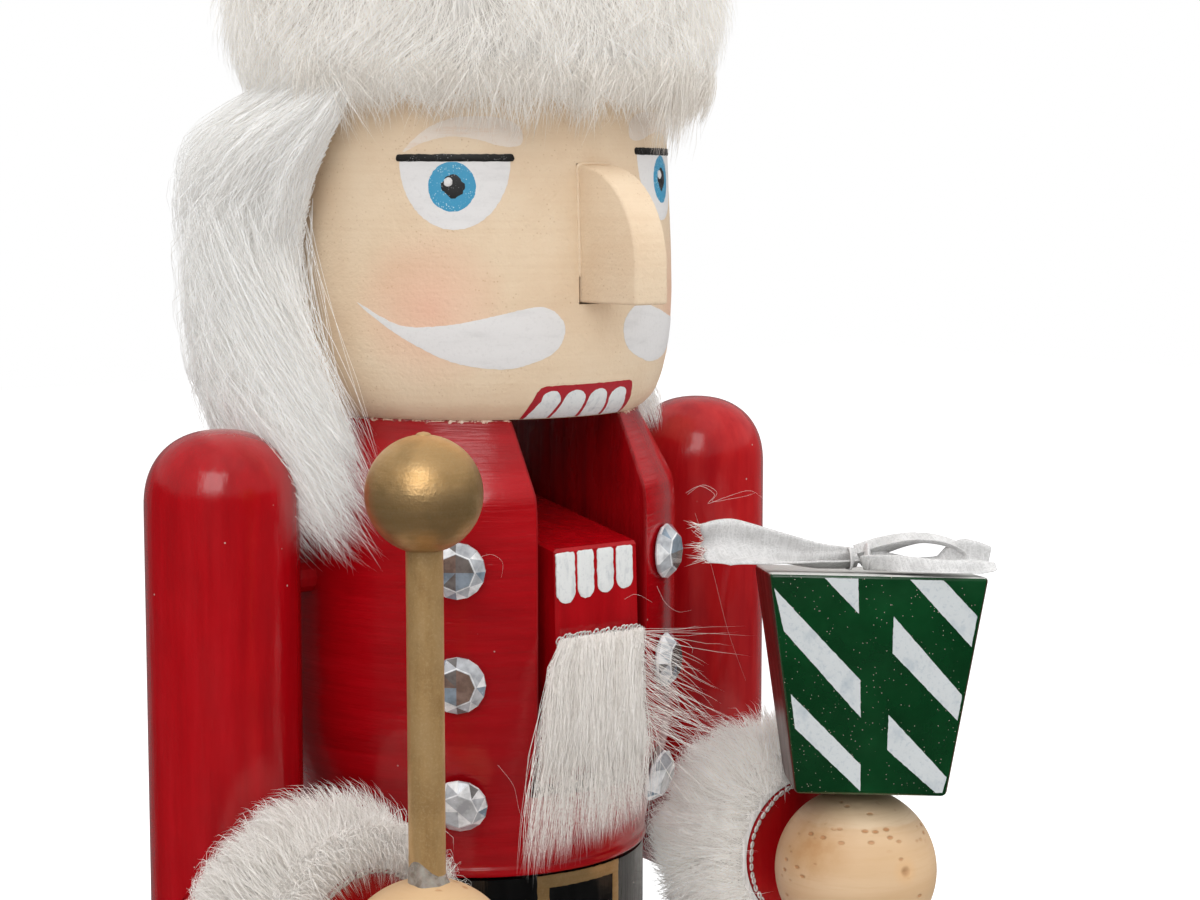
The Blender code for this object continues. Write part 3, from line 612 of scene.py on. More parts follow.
# The stones' facet tones are painted reflections: white, light, grey, blue and warm faces stand in for what
# each facet reflects.
WHITE_FACET, LIGHT_FACET, GREY_FACET, BLUE_FACET, WARM_FACET = range(5)
STONE_REFLECTION_TONES = [
    reflection_facet("facet_white", (0.86, 0.87, 0.88), 0.1),
    reflection_facet("facet_light", (0.55, 0.57, 0.60), 0.2),
    reflection_facet("facet_grey", (0.22, 0.205, 0.20), 0.35),
    reflection_facet("facet_blue", (0.30, 0.38, 0.46), 0.3),
    reflection_facet("facet_warm", (0.27, 0.19, 0.16), 0.3),
]

# The jaw turns about its pin, and at rest the mouth stands open by this angle.
JAW_PIVOT = Vector((0, 0.028, SEAT - 0.030))
JAW_OPEN = math.radians(20)


# ---------------------------------------------------------------- mesh helpers


def bevelled(bm, edges, offset, segments):
    """Rounds edges of a bmesh, as far as their faces have room."""
    bmesh.ops.bevel(
        bm, geom=edges, offset=offset, segments=segments, affect="EDGES", profile=0.5, clamp_overlap=True
    )


def new_mesh(name, materials):
    """An empty mesh with these materials."""
    mesh = bpy.data.meshes.new(name)
    for material in materials:
        mesh.materials.append(material)
    return mesh


def finished(name, bm, materials, sharp=180):
    """A piece of the figure made from a bmesh: smooth, except for edges sharper than an angle."""
    mesh = new_mesh(name, materials)
    bm.to_mesh(mesh)
    bm.free()
    mesh.shade_smooth()
    if sharp < 180:
        mesh.set_sharp_from_angle(angle=math.radians(sharp))
    obj = linked(name, mesh)
    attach(obj, "figure")
    return obj


def piece(name, verts, faces, materials, body="figure", sharp=35, slots=None, smooth=True):
    """A mesh object that rides on a body. slots gives each face's material by number."""
    mesh = new_mesh(name, materials)
    mesh.from_pydata([tuple(v) for v in verts], [], faces)
    if slots is not None:
        mesh.polygons.foreach_set("material_index", np.asarray(slots, np.int32))
    bm = bmesh.new()
    bm.from_mesh(mesh)
    bmesh.ops.recalc_face_normals(bm, faces=bm.faces)
    bm.to_mesh(mesh)
    bm.free()
    if smooth:
        mesh.shade_smooth()
        mesh.set_sharp_from_angle(angle=math.radians(sharp))
    obj = linked(name, mesh)
    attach(obj, body)
    return obj


def placed(matrix, points):
    """Points put in place by a matrix, one by one."""
    return [matrix @ Vector(p) for p in points]


def placed_paths(matrix, paths):
    """Strands put in place by a matrix, as one array of shape (strands, points, 3)."""
    turn = np.array(matrix.to_3x3())
    return (paths.reshape(-1, 3) @ turn.T + np.array(matrix.translation)).reshape(paths.shape)


def apply_modifiers(obj):
    """Puts the result of an object's modifiers in place of its mesh."""
    graph = bpy.context.evaluated_depsgraph_get()
    mesh = bpy.data.meshes.new_from_object(obj.evaluated_get(graph))
    obj.modifiers.clear()
    old = obj.data
    obj.data = mesh
    bpy.data.meshes.remove(old)


def rounded(points, limit):
    """Cuts the corners of an open line three times, at most limit from each and then ever less."""
    points = [np.asarray(p, float) for p in points]
    for _ in range(3):
        cut = [points[0]]
        last = len(points) - 1
        for i in range(last):
            step = points[i + 1] - points[i]
            length = np.linalg.norm(step)
            if length < 1e-9:
                continue
            share = min(0.25, limit / length)
            if i > 0:
                cut.append(points[i] + step * share)
            if i + 1 < last:
                cut.append(points[i + 1] - step * share)
        cut.append(points[-1])
        points = cut
        limit = limit * 0.5
    return points


def curve_through(points, steps, closed=False):
    """Catmull-Rom curve through points of any dimension.

    Each span runs from s to e, with b the point before it and a the point after it.
    """
    points = np.asarray(points, float)
    count = len(points)
    spans = count if closed else count - 1
    found = []
    for i in range(spans):
        if closed:
            b, s, e, a = (points[(i + k) % count] for k in (-1, 0, 1, 2))
        else:
            b, s, e, a = points[max(i - 1, 0)], points[i], points[i + 1], points[min(i + 2, count - 1)]
        for step in range(steps):
            t = step / steps
            square, cube = 2 * b - 5 * s + 4 * e - a, 3 * s - b - 3 * e + a
            found.append(0.5 * (2 * s + (e - b) * t + square * t**2 + cube * t**3))
    if not closed:
        found.append(points[-1])
    return np.array(found)


def node_points(node):
    """The points of a CAD node's mesh, as an array."""
    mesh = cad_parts[node].data
    co = np.empty(len(mesh.vertices) * 3, np.float32)
    mesh.vertices.foreach_get("co", co)
    return co.reshape(-1, 3).astype(float)


def turned_profile(node, centre=(0.0, 0.0)):
    """The (radius, height) outline of a turned CAD node about a vertical axis, from its rings of points.

    A level counts as a ring if its outermost points lie in enough directions, or if it is the axis's end.
    """
    same_level, same_radius, axis_radius, least_directions = 5e-5, 6e-5, 3e-4, 14
    co = node_points(node)
    x, y = co[:, 0] - centre[0], co[:, 1] - centre[1]
    radius = np.hypot(x, y)
    direction = np.round(np.arctan2(y, x), 2)
    level = np.round(co[:, 2] / same_level).astype(int)
    outline = []
    for number in np.unique(level):
        here = level == number
        most = radius[here].max()
        ring = np.unique(direction[here][radius[here] > most - same_radius])
        if len(ring) >= least_directions or most < axis_radius:
            outline.append((0.0 if most < axis_radius else float(most), float(co[here][:, 2].mean())))
    return outline


def spun(profile, segments, centre=(0.0, 0.0), shear=None):
    """Vertices and faces of a closed solid of revolution about a vertical axis.

    profile runs upward as (radius, height); shear(x, y) lifts the lowest row, for a mitred end.
    """
    verts, faces, rings = [], [], []
    for index, (radius, height) in enumerate(profile):
        start = len(verts)
        if radius == 0:
            verts.append((centre[0], centre[1], height))
            rings.append([start])
            continue
        for step in range(segments):
            angle = 2 * math.pi * step / segments
            x, y = radius * math.cos(angle), radius * math.sin(angle)
            lift = shear(x, y) if shear and index == 0 else 0.0
            verts.append((centre[0] + x, centre[1] + y, height + lift))
        rings.append(list(range(start, start + segments)))
    for low, high in zip(rings, rings[1:]):
        for step in range(segments):
            after = (step + 1) % segments
            if len(low) == 1:
                faces.append((low[0], high[after], high[step]))
            elif len(high) == 1:
                faces.append((low[step], low[after], high[0]))
            else:
                faces.append((low[step], low[after], high[after], high[step]))
    if len(rings[0]) > 1:
        faces.append(tuple(reversed(rings[0])))
    if len(rings[-1]) > 1:
        faces.append(tuple(rings[-1]))
    return verts, faces


def refined(profile):
    """A profile as plain numbers, with more rows where its rows lie far apart."""
    profile = [(float(r), float(z)) for r, z in profile]
    widest = 2.2 * MM
    fine = [profile[0]]
    for (r0, z0), (r1, z1) in zip(profile, profile[1:]):
        parts = max(1, math.ceil(math.hypot(r1 - r0, z1 - z0) / widest))
        fine += [(r0 + (r1 - r0) * k / parts, z0 + (z1 - z0) * k / parts) for k in range(1, parts + 1)]
    return fine


def replace_turned(name, node, materials, centre=(0.0, 0.0), segments=128, edge=0.0007, slots=None):
    """A smooth copy of a turned CAD node. slots maps a face's middle height to a material number."""
    verts, faces = spun(refined(rounded(turned_profile(node, centre), edge)), segments, centre)
    numbers = None
    if slots:
        heights = [v[2] for v in verts]
        numbers = [slots(sum(heights[i] for i in face) / len(face)) for face in faces]
    obj = piece(name, verts, faces, materials, slots=numbers)
    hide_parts(node)


def closed_loft(rings, cap=True):
    """Vertices and faces of rings of equal length joined one after another, capped at both ends."""
    count = len(rings[0])
    verts = [tuple(p) for ring in rings for p in ring]
    faces = []
    for row in range(len(rings) - 1):
        for i in range(count):
            j = (i + 1) % count
            faces.append((row * count + i, row * count + j, (row + 1) * count + j, (row + 1) * count + i))
    if cap:
        faces.append(tuple(reversed(range(count))))
        faces.append(tuple(range((len(rings) - 1) * count, len(rings) * count)))
    return verts, faces


# ---------------------------------------------------------------- painted shapes


def inside(points, outline):
    """Which points lie within a closed outline (even-odd rule)."""
    x, y = points[:, 0], points[:, 1]
    found = np.zeros(len(points), bool)
    for (x0, y0), (x1, y1) in zip(outline, np.roll(outline, -1, axis=0)):
        crosses = (y0 > y) != (y1 > y)
        with np.errstate(divide="ignore", invalid="ignore"):
            at = (x1 - x0) * (y - y0) / (y1 - y0) + x0
        found ^= crosses & (x < at)
    return found


def painted(name, outline, surface, material, body="figure", height=0.00007, grid=0.0009, wobble=0.00006):
    """A thin film of paint of this outline, laid on a surface.

    outline is a closed line in metres on the unrolled surface, and surface(u, v, lift) gives points in space.
    height is the film's, grid the spacing of its inner points, and wobble how unsteady its rim is.
    """
    outline = np.asarray(outline, float)
    rim_step, under_surface = 0.0006, -0.00015
    dense = []
    for start, end in zip(outline, np.roll(outline, -1, axis=0)):
        parts = max(1, math.ceil(np.linalg.norm(end - start) / rim_step))
        dense += [start + (end - start) * k / parts for k in range(parts)]
    dense = np.array(dense)
    dense += RNG.normal(0, wobble * 0.5, dense.shape)
    low, high = dense.min(0), dense.max(0)
    across = np.arange(low[0] + grid / 2, high[0], grid)
    up = np.arange(low[1] + grid / 2, high[1], grid)
    field = np.array([(x, y) for x in across for y in up])
    if len(field):
        field = field[inside(field, dense)]
    if len(field):
        gap = np.linalg.norm(field[:, None] - dense[None], axis=2).min(1)
        field = field[gap > 0.35 * grid]
    count = len(dense)
    points = [Vector(p) for p in dense] + [Vector(p) for p in field]
    edges = [(i, (i + 1) % count) for i in range(count)]
    flat, _, faces, *_ = delaunay_2d_cdt(points, edges, [list(range(count))], 1, 1e-7)
    flat = np.array([tuple(p) for p in flat])
    rim = {}
    for face in faces:
        for a, b in zip(face, face[1:] + face[:1]):
            rim[(a, b)] = rim.get((a, b), 0) + 1
    border = [(a, b) for a, b in rim if (b, a) not in rim]
    on_rim = np.zeros(len(flat), bool)
    on_rim[[i for edge in border for i in edge]] = True
    lift = np.where(on_rim, height * 0.55, height) * (0.9 + 0.2 * RNG.random(len(flat)))
    top = surface(flat[:, 0], flat[:, 1], lift)
    bottom = surface(flat[:, 0], flat[:, 1], np.full(len(flat), under_surface))
    shift = len(flat)
    solid = [tuple(f) for f in faces] + [tuple(i + shift for i in reversed(f)) for f in faces]
    solid += [(b, a, a + shift, b + shift) for a, b in border]
    return piece(name, np.vstack([top, bottom]), solid, [material], body, sharp=60)


HEAD_OUTLINE = np.array(rounded(turned_profile("head"), 0.0007))
HEAD_RADIUS = 36 * MM


def head_surface(arc, height, lift):
    """Points on the head: arc runs from the front at HEAD_RADIUS, height counts from the seat."""
    radius = np.interp(height + SEAT, HEAD_OUTLINE[:, 1], HEAD_OUTLINE[:, 0]) + lift
    angle = arc / HEAD_RADIUS
    return np.stack([radius * np.sin(angle), -radius * np.cos(angle), np.full_like(angle, SEAT) + height], 1)


def on_head(points):
    """(degrees from the front, mm above the seat) to the head's unrolled surface."""
    return [(math.radians(a) * HEAD_RADIUS, z * MM) for a, z in points]


def oval(centre, half, count=28, start=0, end=360):
    """Points round an ellipse, or along its arc from start to end in degrees."""
    angles = np.radians(np.linspace(start, end, count, endpoint=end - start != 360))
    return [(centre[0] + half[0] * math.cos(a), centre[1] + half[1] * math.sin(a)) for a in angles]


def paint_eye(side, sign, centre, lid):
    """White, iris, pupil, glint, lid line and brow of one eye. centre and lid are in degrees and mm."""
    degree = math.radians(1) * HEAD_RADIUS / MM
    white = oval((centre, lid), (15.6, 12.2), 26, 180, 360)
    painted(f"eye_white_{side}", on_head(white), head_surface, WHITE)
    iris = oval((centre + sign * 0.6, lid - 4.9), (4.15 / degree, 4.25))
    painted(f"iris_{side}", on_head(iris), head_surface, IRIS, height=0.00013)
    pupil = oval((centre + sign * 0.3, lid - 4.85), (2.25 / degree, 2.3), 20)
    painted(f"pupil_{side}", on_head(pupil), head_surface, PUPIL, height=0.00018)
    # The glint is a painted highlight: a dot of white paint on the pupil.
    glint = oval((centre - 1.6, lid - 4.1), (0.8 / degree, 0.8), 14)
    painted(f"glint_{side}", on_head(glint), head_surface, WHITE, height=0.00036, grid=0.0004)
    line = oval((centre - 15.7, lid), (0.9, 0.62), 6, 90, 270)
    line += oval((centre + 15.7, lid), (0.9, 0.62), 6, -90, 90)
    painted(f"lid_line_{side}", on_head(line), head_surface, LINE_BLACK, height=0.00020)
    brow = [
        (14.6, 1.0), (8.6, 4.6), (0.6, 6.7), (-8.4, 7.0), (-15.4, 6.3), (-18.8, 4.6),
        (-18.4, 2.2), (-13.4, 1.9), (-6.9, 3.0), (0.6, 3.6), (8.6, 2.6),
    ]
    brow = [(centre + sign * a, lid + z) for a, z in brow]
    painted(f"brow_{side}", curve_through(on_head(brow), 4, True), head_surface, BROW)


def paint_moustache(side, sign):
    """One half of the moustache, from its thin end at the cheek round its full end at the lip."""
    outline = [
        (70, 20.9), (56.9, 17.1), (42.8, 17.2), (29.1, 18.9), (17.9, 20.2), (12, 18.4),
        (10.4, 15.6), (13.3, 12.3), (20.8, 10.3), (29.2, 9.5), (42.8, 10.9), (56.9, 15.2),
    ]
    outline = [(sign * a, z) for a, z in outline]
    painted(f"moustache_{side}", curve_through(on_head(outline), 5, True), head_surface, WHITE)


def paint_upper_teeth():
    """Four teeth on a red gum, at the lower edge of the head."""
    edge, narrowing = 0.42, 0.80
    gum = [
        (-21.4, edge), (-17.6, 5.2), (-16.6, 6.0), (-15.0, 6.35),
        (16.4, 6.6), (18.0, 6.3), (18.9, 5.5), (22.6, edge),
    ]
    painted("upper_gum", on_head(gum), head_surface, GUM_RED)
    for index, (low_left, low_right) in enumerate(((-20.0, -11.9), (-10.6, -1.0), (0.4, 9.8), (11.2, 21.2))):
        left, right = low_left * narrowing, low_right * narrowing
        crown = oval(((left + right) / 2, 3.6), ((right - left) / 2, 1.9), 12, 0, 180)
        tooth = [(low_left, edge), (low_right, edge), *crown]
        painted(f"upper_tooth_{index + 1}", on_head(tooth), head_surface, TOOTH, height=0.00014, grid=0.0007)


# ---------------------------------------------------------------- turned and sawn pieces


def block(centre, size):
    """A bmesh of a plain block, for cutting or for bevelling."""
    bm = bmesh.new()
    bmesh.ops.create_cube(bm, size=1.0, matrix=Matrix.Translation(centre) @ Matrix.Diagonal((*size, 1)))
    return bm


def make_head():
    """The head, with the groove that the nose is let into."""
    verts, faces = spun(refined(HEAD_OUTLINE), 160)
    head = piece("painted_head", verts, faces, [SKIN])
    low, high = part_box("nose")
    gap, deep = 0.0003, 0.02
    size = Vector((high.x - low.x + 2 * gap, deep, high.z - low.z + 2 * gap))
    centre = Vector((0, high.y + gap - deep / 2, (low.z + high.z) / 2))
    cutter = bpy.data.meshes.new("nose_groove")
    bm = block(centre, size)
    bm.to_mesh(cutter)
    bm.free()
    cutting = linked("nose_groove", cutter)
    groove = head.modifiers.new("groove", "BOOLEAN")
    groove.object = cutting
    bpy.context.view_layer.update()
    apply_modifiers(head)
    head.data.set_sharp_from_angle(angle=math.radians(35))
    bpy.data.objects.remove(cutting)
    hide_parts("head")


def make_nose():
    """Sawn block with a round bridge, its paint softened along the edges."""
    low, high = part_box("nose")
    bridge = low.z + 0.0062
    back = -0.0355
    outline = [(high.y, low.z), (low.y, low.z)]
    for step in range(15):
        angle = math.radians(180 - 90 * step / 14)
        out, up = -math.cos(angle), math.sin(angle)
        outline.append((back + (low.y - back) * out, bridge + (high.z - bridge) * up))
    outline.append((high.y, high.z))
    half = (high.x - low.x) / 2
    bm = bmesh.new()
    sides = [[bm.verts.new((x, y, z)) for y, z in outline] for x in (-half, half)]
    for side in sides:
        bm.faces.new(side)
    for i in range(len(outline)):
        j = (i + 1) % len(outline)
        bm.faces.new((sides[0][i], sides[0][j], sides[1][j], sides[1][i]))
    bmesh.ops.recalc_face_normals(bm, faces=bm.faces)
    bevelled(bm, bm.edges[:], 0.00055, 3)
    nose = finished("nose_block", bm, [NOSE_SKIN], 30)
    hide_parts("nose")


def make_nose_bead():
    """Paint that has filled the joint round the upper part of the nose: a bead thin at its lower end."""
    low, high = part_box("nose")
    half = (high.x - low.x) / 2 + 0.0001
    thickness = 0.00034
    round_bead = np.linspace(0, 2 * math.pi, 10, endpoint=False)

    def head_radius(height):
        return float(np.interp(height, HEAD_OUTLINE[:, 1], HEAD_OUTLINE[:, 0]))

    for side, sign in (("right", -1), ("left", 1)):
        path = []
        for height in np.linspace(low.z + 0.0045, high.z - 0.0006, 12):
            path.append((sign * half, -math.sqrt(head_radius(height) ** 2 - half**2), height))
        radius = head_radius(high.z)
        path.append((sign * (half - 0.0006), -radius, high.z + 0.0001))
        path.append((0.0, -radius, high.z + 0.0002))
        path = curve_through(path, 3)
        rings = []
        for row, point in enumerate(path):
            ahead = path[min(row + 1, len(path) - 1)] - path[max(row - 1, 0)]
            ahead /= np.linalg.norm(ahead)
            across = np.cross(ahead, (0, 1, 0))
            across /= np.linalg.norm(across)
            over = np.cross(ahead, across)
            growth = 0.55 + 0.45 * math.sin(min(1.0, row / 5) * math.pi / 2)
            size = thickness * growth * (1 + 0.12 * math.sin(row * 1.7))
            rings.append([point + size * (across * math.cos(a) + over * math.sin(a)) for a in round_bead])
        verts, faces = closed_loft(rings)
        piece(f"nose_joint_{side}", verts, faces, [NOSE_SKIN], sharp=80)


def make_torso():
    """The coat block with its slot: one closed mesh whose slot edges are softened by paint."""
    outline = np.array(rounded(turned_profile("torso"), 0.0006))
    top = outline[-1, 1]
    bottom = outline[0, 1]
    clearance = 0.00254
    half = (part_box("jaw_lever")[1].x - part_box("jaw_lever")[0].x) / 2 + clearance
    floor = SEAT - 0.066
    arc_steps, mouth_steps, corner = 72, 16, 0.0006

    def radius(z):
        return float(np.interp(z, outline[:, 1], outline[:, 0]))

    def side_loop(z, sign, soft):
        """Outline of one cheek at a height: outer arc, then the slot wall with softened corners."""
        r = radius(z)
        edge = math.asin(half / r)
        angles = np.linspace(edge, math.pi - edge, arc_steps)
        loop = [(sign * r * math.sin(a), -r * math.cos(a)) for a in angles]
        if soft:
            step = corner / r
            loop[0] = (sign * r * math.sin(edge + step), -r * math.cos(edge + step))
            loop[-1] = (sign * r * math.sin(edge + step), r * math.cos(edge + step))
        y = math.sqrt(r * r - half * half)
        turns = (0.3, 0.7)
        bend = [(sign * half, y)] * 2
        if soft:
            bend = [(sign * (half + corner * 0.62 * (1 - t)), y - corner * t * 0.9) for t in turns]
        wall = [(sign * half, depth) for depth in np.linspace(y - corner, -(y - corner), 12)]
        return [(x, y2, z) for x, y2 in loop + bend + wall + [(x, -y2) for x, y2 in bend[::-1]]]

    verts, faces, slots = [], [], []
    rows = sorted({floor, top, *[z for z in outline[:, 1] if z > floor], *np.linspace(floor, top, 24)})
    loops = {}
    for sign in (-1, 1):
        for row, z in enumerate(rows):
            loop = side_loop(z, sign, row > 0)
            loops[sign, row] = list(range(len(verts), len(verts) + len(loop)))
            verts += loop
        size = len(loops[sign, 0])
        for row in range(len(rows) - 1):
            low, high = loops[sign, row], loops[sign, row + 1]
            for i in range(size):
                j = (i + 1) % size
                faces.append((low[i], low[j], high[j], high[i]))
                slots.append(0 if i < arc_steps - 1 else 1)
        faces.append(tuple(loops[sign, len(rows) - 1]))
        slots.append(0)
    base_rows = {bottom, *[z for z in outline[:, 1] if z < floor], *np.linspace(bottom, floor, 8)[:-1]}
    right, left = loops[-1, 0][:arc_steps], loops[1, 0][:arc_steps]
    edge = math.asin(half / radius(floor))
    front, back = [], []
    r = radius(floor)
    for k in range(1, mouth_steps):
        angle = -edge + 2 * edge * k / mouth_steps
        front.append(len(verts))
        verts.append((r * math.sin(angle), -r * math.cos(angle), floor))
        back.append(len(verts))
        verts.append((r * math.sin(angle), r * math.cos(angle), floor))
    ring = front + left + back[::-1] + right[::-1]
    wall_right, wall_left = loops[-1, 0][arc_steps:], loops[1, 0][arc_steps:]
    slot_floor = [right[0], *front, left[0], *wall_left[::-1], left[-1], *back[::-1], right[-1], *wall_right]
    faces.append(tuple(slot_floor))
    slots.append(1)
    previous = ring
    for z in sorted(base_rows, reverse=True):
        start = len(verts)
        for index in ring:
            x, y, _ = verts[index]
            scale = radius(z) / math.hypot(x, y)
            verts.append((x * scale, y * scale, z))
        current = list(range(start, len(verts)))
        for i in range(len(ring)):
            j = (i + 1) % len(ring)
            faces.append((previous[i], previous[j], current[j], current[i]))
            slots.append(0)
        previous = current
    faces.append(tuple(previous))
    slots.append(0)
    # The slot's walls and floor take the darker red, painted shade.
    torso = piece("coat", verts, faces, [RED_TURNED, SLOT_RED_SHADED], slots=slots)
    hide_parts("torso")


def make_neck_seam():
    """Chipped line of paint along the joint of head and coat, on both sides of the slot."""
    slot_angle = 24.5
    for side, sign in (("right", -1), ("left", 1)):
        rings = []
        for angle in np.radians(np.linspace(slot_angle, 180 - slot_angle, 260)):
            swell = 0.5 + 0.25 * math.sin(angle * 37 + sign) + 0.25 * math.sin(angle * 91)
            swell += RNG.uniform(-0.2, 0.2)
            reach = 0.0298 + 0.00034 * max(swell, 0.12)
            up = 0.00028 + 0.00022 * max(swell, 0.1)
            ring = [
                (0.0290, 0.00004), (0.0290, up), (reach - 0.0002, up),
                (reach, up * 0.4), (reach + 0.00004, -0.0003), (0.0299, -0.0005),
            ]
            rings.append([(sign * r * math.sin(angle), -r * math.cos(angle), SEAT + z) for r, z in ring])
        verts, faces = closed_loft(rings)
        piece(f"neck_seam_{side}", verts, faces, [SEAM], sharp=50)


def make_hips():
    """Belt and skirt in one turned block, the belt painted black."""
    belt_low = turned_profile("hips")[-2][1]
    replace_turned(
        "belt_and_skirt", "hips", [RED_TURNED, BLACK], edge=0.0005,
        slots=lambda z: 1 if z > belt_low + 0.0002 else 0,
    )
    belt_radius = turned_profile("hips")[-1][0]

    def belt_surface(arc, height, lift):
        angle = arc / belt_radius
        radius = belt_radius + lift
        return np.stack([radius * np.sin(angle), -radius * np.cos(angle), HIPS_TOP + height], 1)

    left, right, high, low, bar = -8.8 * MM, 10.4 * MM, -0.5 * MM, -20.2 * MM, 2.3 * MM
    bars = {
        "top": (left, right, high - bar, high),
        "bottom": (left, right, low, low + bar),
        "right_hand": (left, left + bar, low + bar * 0.6, high - bar * 0.6),
        "left_hand": (right - bar * 0.8, right, low + bar * 0.6, high - bar * 0.6),
    }
    for name, (x0, x1, z0, z1) in bars.items():
        lift = 0.00010 if name in ("top", "bottom") else 0.00007
        painted(f"buckle_{name}", [(x0, z0), (x1, z0), (x1, z1), (x0, z1)], belt_surface, GOLD, height=lift)


def make_legs():
    """Trouser leg and boot in one turned piece, the boot painted black up to its fur, and the toe cap."""
    for side in ("left", "right"):
        centre = middle("leg_" + side)
        fur_middle = middle("boot_fur_" + side).z
        replace_turned(
            "painted_leg_" + side, "leg_" + side, [RED, BLACK], centre[:2], 96, 0.0006,
            slots=lambda z: 1 if z < fur_middle else 0,
        )
        make_shoe(side)


def make_shoe(side):
    """Toe cap: the CAD solid's own shape with softened edges."""
    leg = middle("leg_" + side)
    low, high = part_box("shoe_" + side)
    half = (high.x - low.x) / 2
    round_from, back, reach = -0.018, -0.0150, 0.026
    rings = []
    levels = ((1.0, 0.0), (1.0, 0.52), (0.975, 0.64), (0.93, 0.76), (0.85, 0.88), (0.74, 0.96), (0.60, 1.0))
    for share, lift in levels:
        z = low.z + (high.z - low.z) * lift
        ring = []
        for step in range(33):
            angle = -math.pi * step / 32
            across = half * share * math.cos(angle)
            ring.append((leg.x + across, round_from + reach * share * math.sin(angle), z))
        ring += [(leg.x - half * share, back, z), (leg.x + half * share, back, z)]
        rings.append(ring)
    verts, faces = closed_loft(rings)
    shoe = piece("toe_cap_" + side, verts, faces, [BLACK], sharp=40)
    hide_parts("shoe_" + side)


def make_base():
    """The plinth with soft painted edges."""
    low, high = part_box("base")
    bm = block(middle("base"), high - low)
    upper = [e for e in bm.edges if min(v.co.z for v in e.verts) > 0.5 * high.z]
    bmesh.ops.bevel(bm, geom=upper, offset=0.004, segments=5, affect="EDGES", profile=0.6)
    upright = [e for e in bm.edges if abs(e.verts[0].co.z - e.verts[1].co.z) > 0.6 * high.z]
    bevelled(bm, upright, 0.0010, 3)
    plinth = finished("plinth", bm, [GREEN], 35)
    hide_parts("base")


def arm_frame(side):
    """Matrix of an arm, and its reach from elbow to hand.

    Its origin is on the upper arm's axis at the forearm's height, and its -Y runs along the forearm.
    """
    upper = middle("upper_arm_" + side)
    hand = middle("hand_" + side)
    origin = Vector((upper.x, upper.y, hand.z))
    forward = (hand - origin).normalized()
    turn = forward.to_track_quat("-Y", "Z").to_matrix().to_4x4()
    return Matrix.Translation(origin) @ turn, (hand - origin).length


def make_arm(side):
    """Upper arm with its squarish dome and the forearm mitred to it."""
    matrix, reach = arm_frame(side)
    low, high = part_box("upper_arm_" + side)
    radius = (high.x - low.x) / 2
    dome = high.z - radius - matrix.translation.z
    profile = [(radius, 0.0003), (radius, dome * 0.3), (radius, dome * 0.7)]
    for step in range(24):
        angle = math.pi / 2 * step / 24
        profile.append((radius * math.cos(angle) ** 0.87, dome + radius * math.sin(angle) ** 0.87))
    profile.append((0, dome + radius))
    verts, faces = spun(refined(profile), 96, shear=lambda x, y: -y)
    # The far (left) sleeve takes the lighter red, a painted sheen.
    red = RED_ARM_LIT if side == "left" else RED
    upper = piece("sleeve_" + side, placed(matrix, verts), faces, [red])
    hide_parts("upper_arm_" + side)

    hand_radius = (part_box("hand_" + side)[1].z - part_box("hand_" + side)[0].z) / 2
    end = reach - hand_radius - 0.0003
    profile = rounded([(radius, 0.0003), (radius, end), (radius * 0.5, end), (0.0001, end)], 0.0005)
    lay = matrix @ Matrix.Rotation(math.radians(90), 4, "X")
    verts, faces = spun(refined(profile), 96, shear=lambda x, y: y)
    forearm = piece("forearm_sleeve_" + side, placed(lay, verts), faces, [RED])
    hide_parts("forearm_" + side)


def make_hand(side):
    """A bare wooden ball dented with small pits, and with a knot in the left one."""
    centre = middle("hand_" + side)
    radius = 0.0149
    pit_stretch = np.array((1.0, 1.0, 1.6))
    bm = bmesh.new()
    bmesh.ops.create_icosphere(bm, subdivisions=6, radius=radius)
    pits = [Vector(RNG.normal(size=3)).normalized() for _ in range(46)]
    depths = RNG.uniform(0.00006, 0.00022, len(pits))
    widths = RNG.uniform(0.00025, 0.00060, len(pits))
    if side == "left":
        pits.append((Vector(KNOT) - centre).normalized())
        depths = np.append(depths, 0.0007)
        widths = np.append(widths, 0.0008)
    directions = np.array([v.co[:] for v in bm.verts]) / radius
    dent = np.zeros(len(directions))
    for pit, depth, width in zip(pits, depths, widths):
        gap = np.linalg.norm((directions - np.array(pit)) * pit_stretch, axis=1) * radius
        dent = np.maximum(dent, depth * np.exp(-((gap / width) ** 2)))
    for vert, push, direction in zip(bm.verts, dent, directions):
        vert.co = Vector(direction * (radius - push))
    bmesh.ops.translate(bm, verts=bm.verts, vec=centre)
    ball = finished("wood_ball_" + side, bm, [HAND_WOOD])
    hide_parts("hand_" + side)


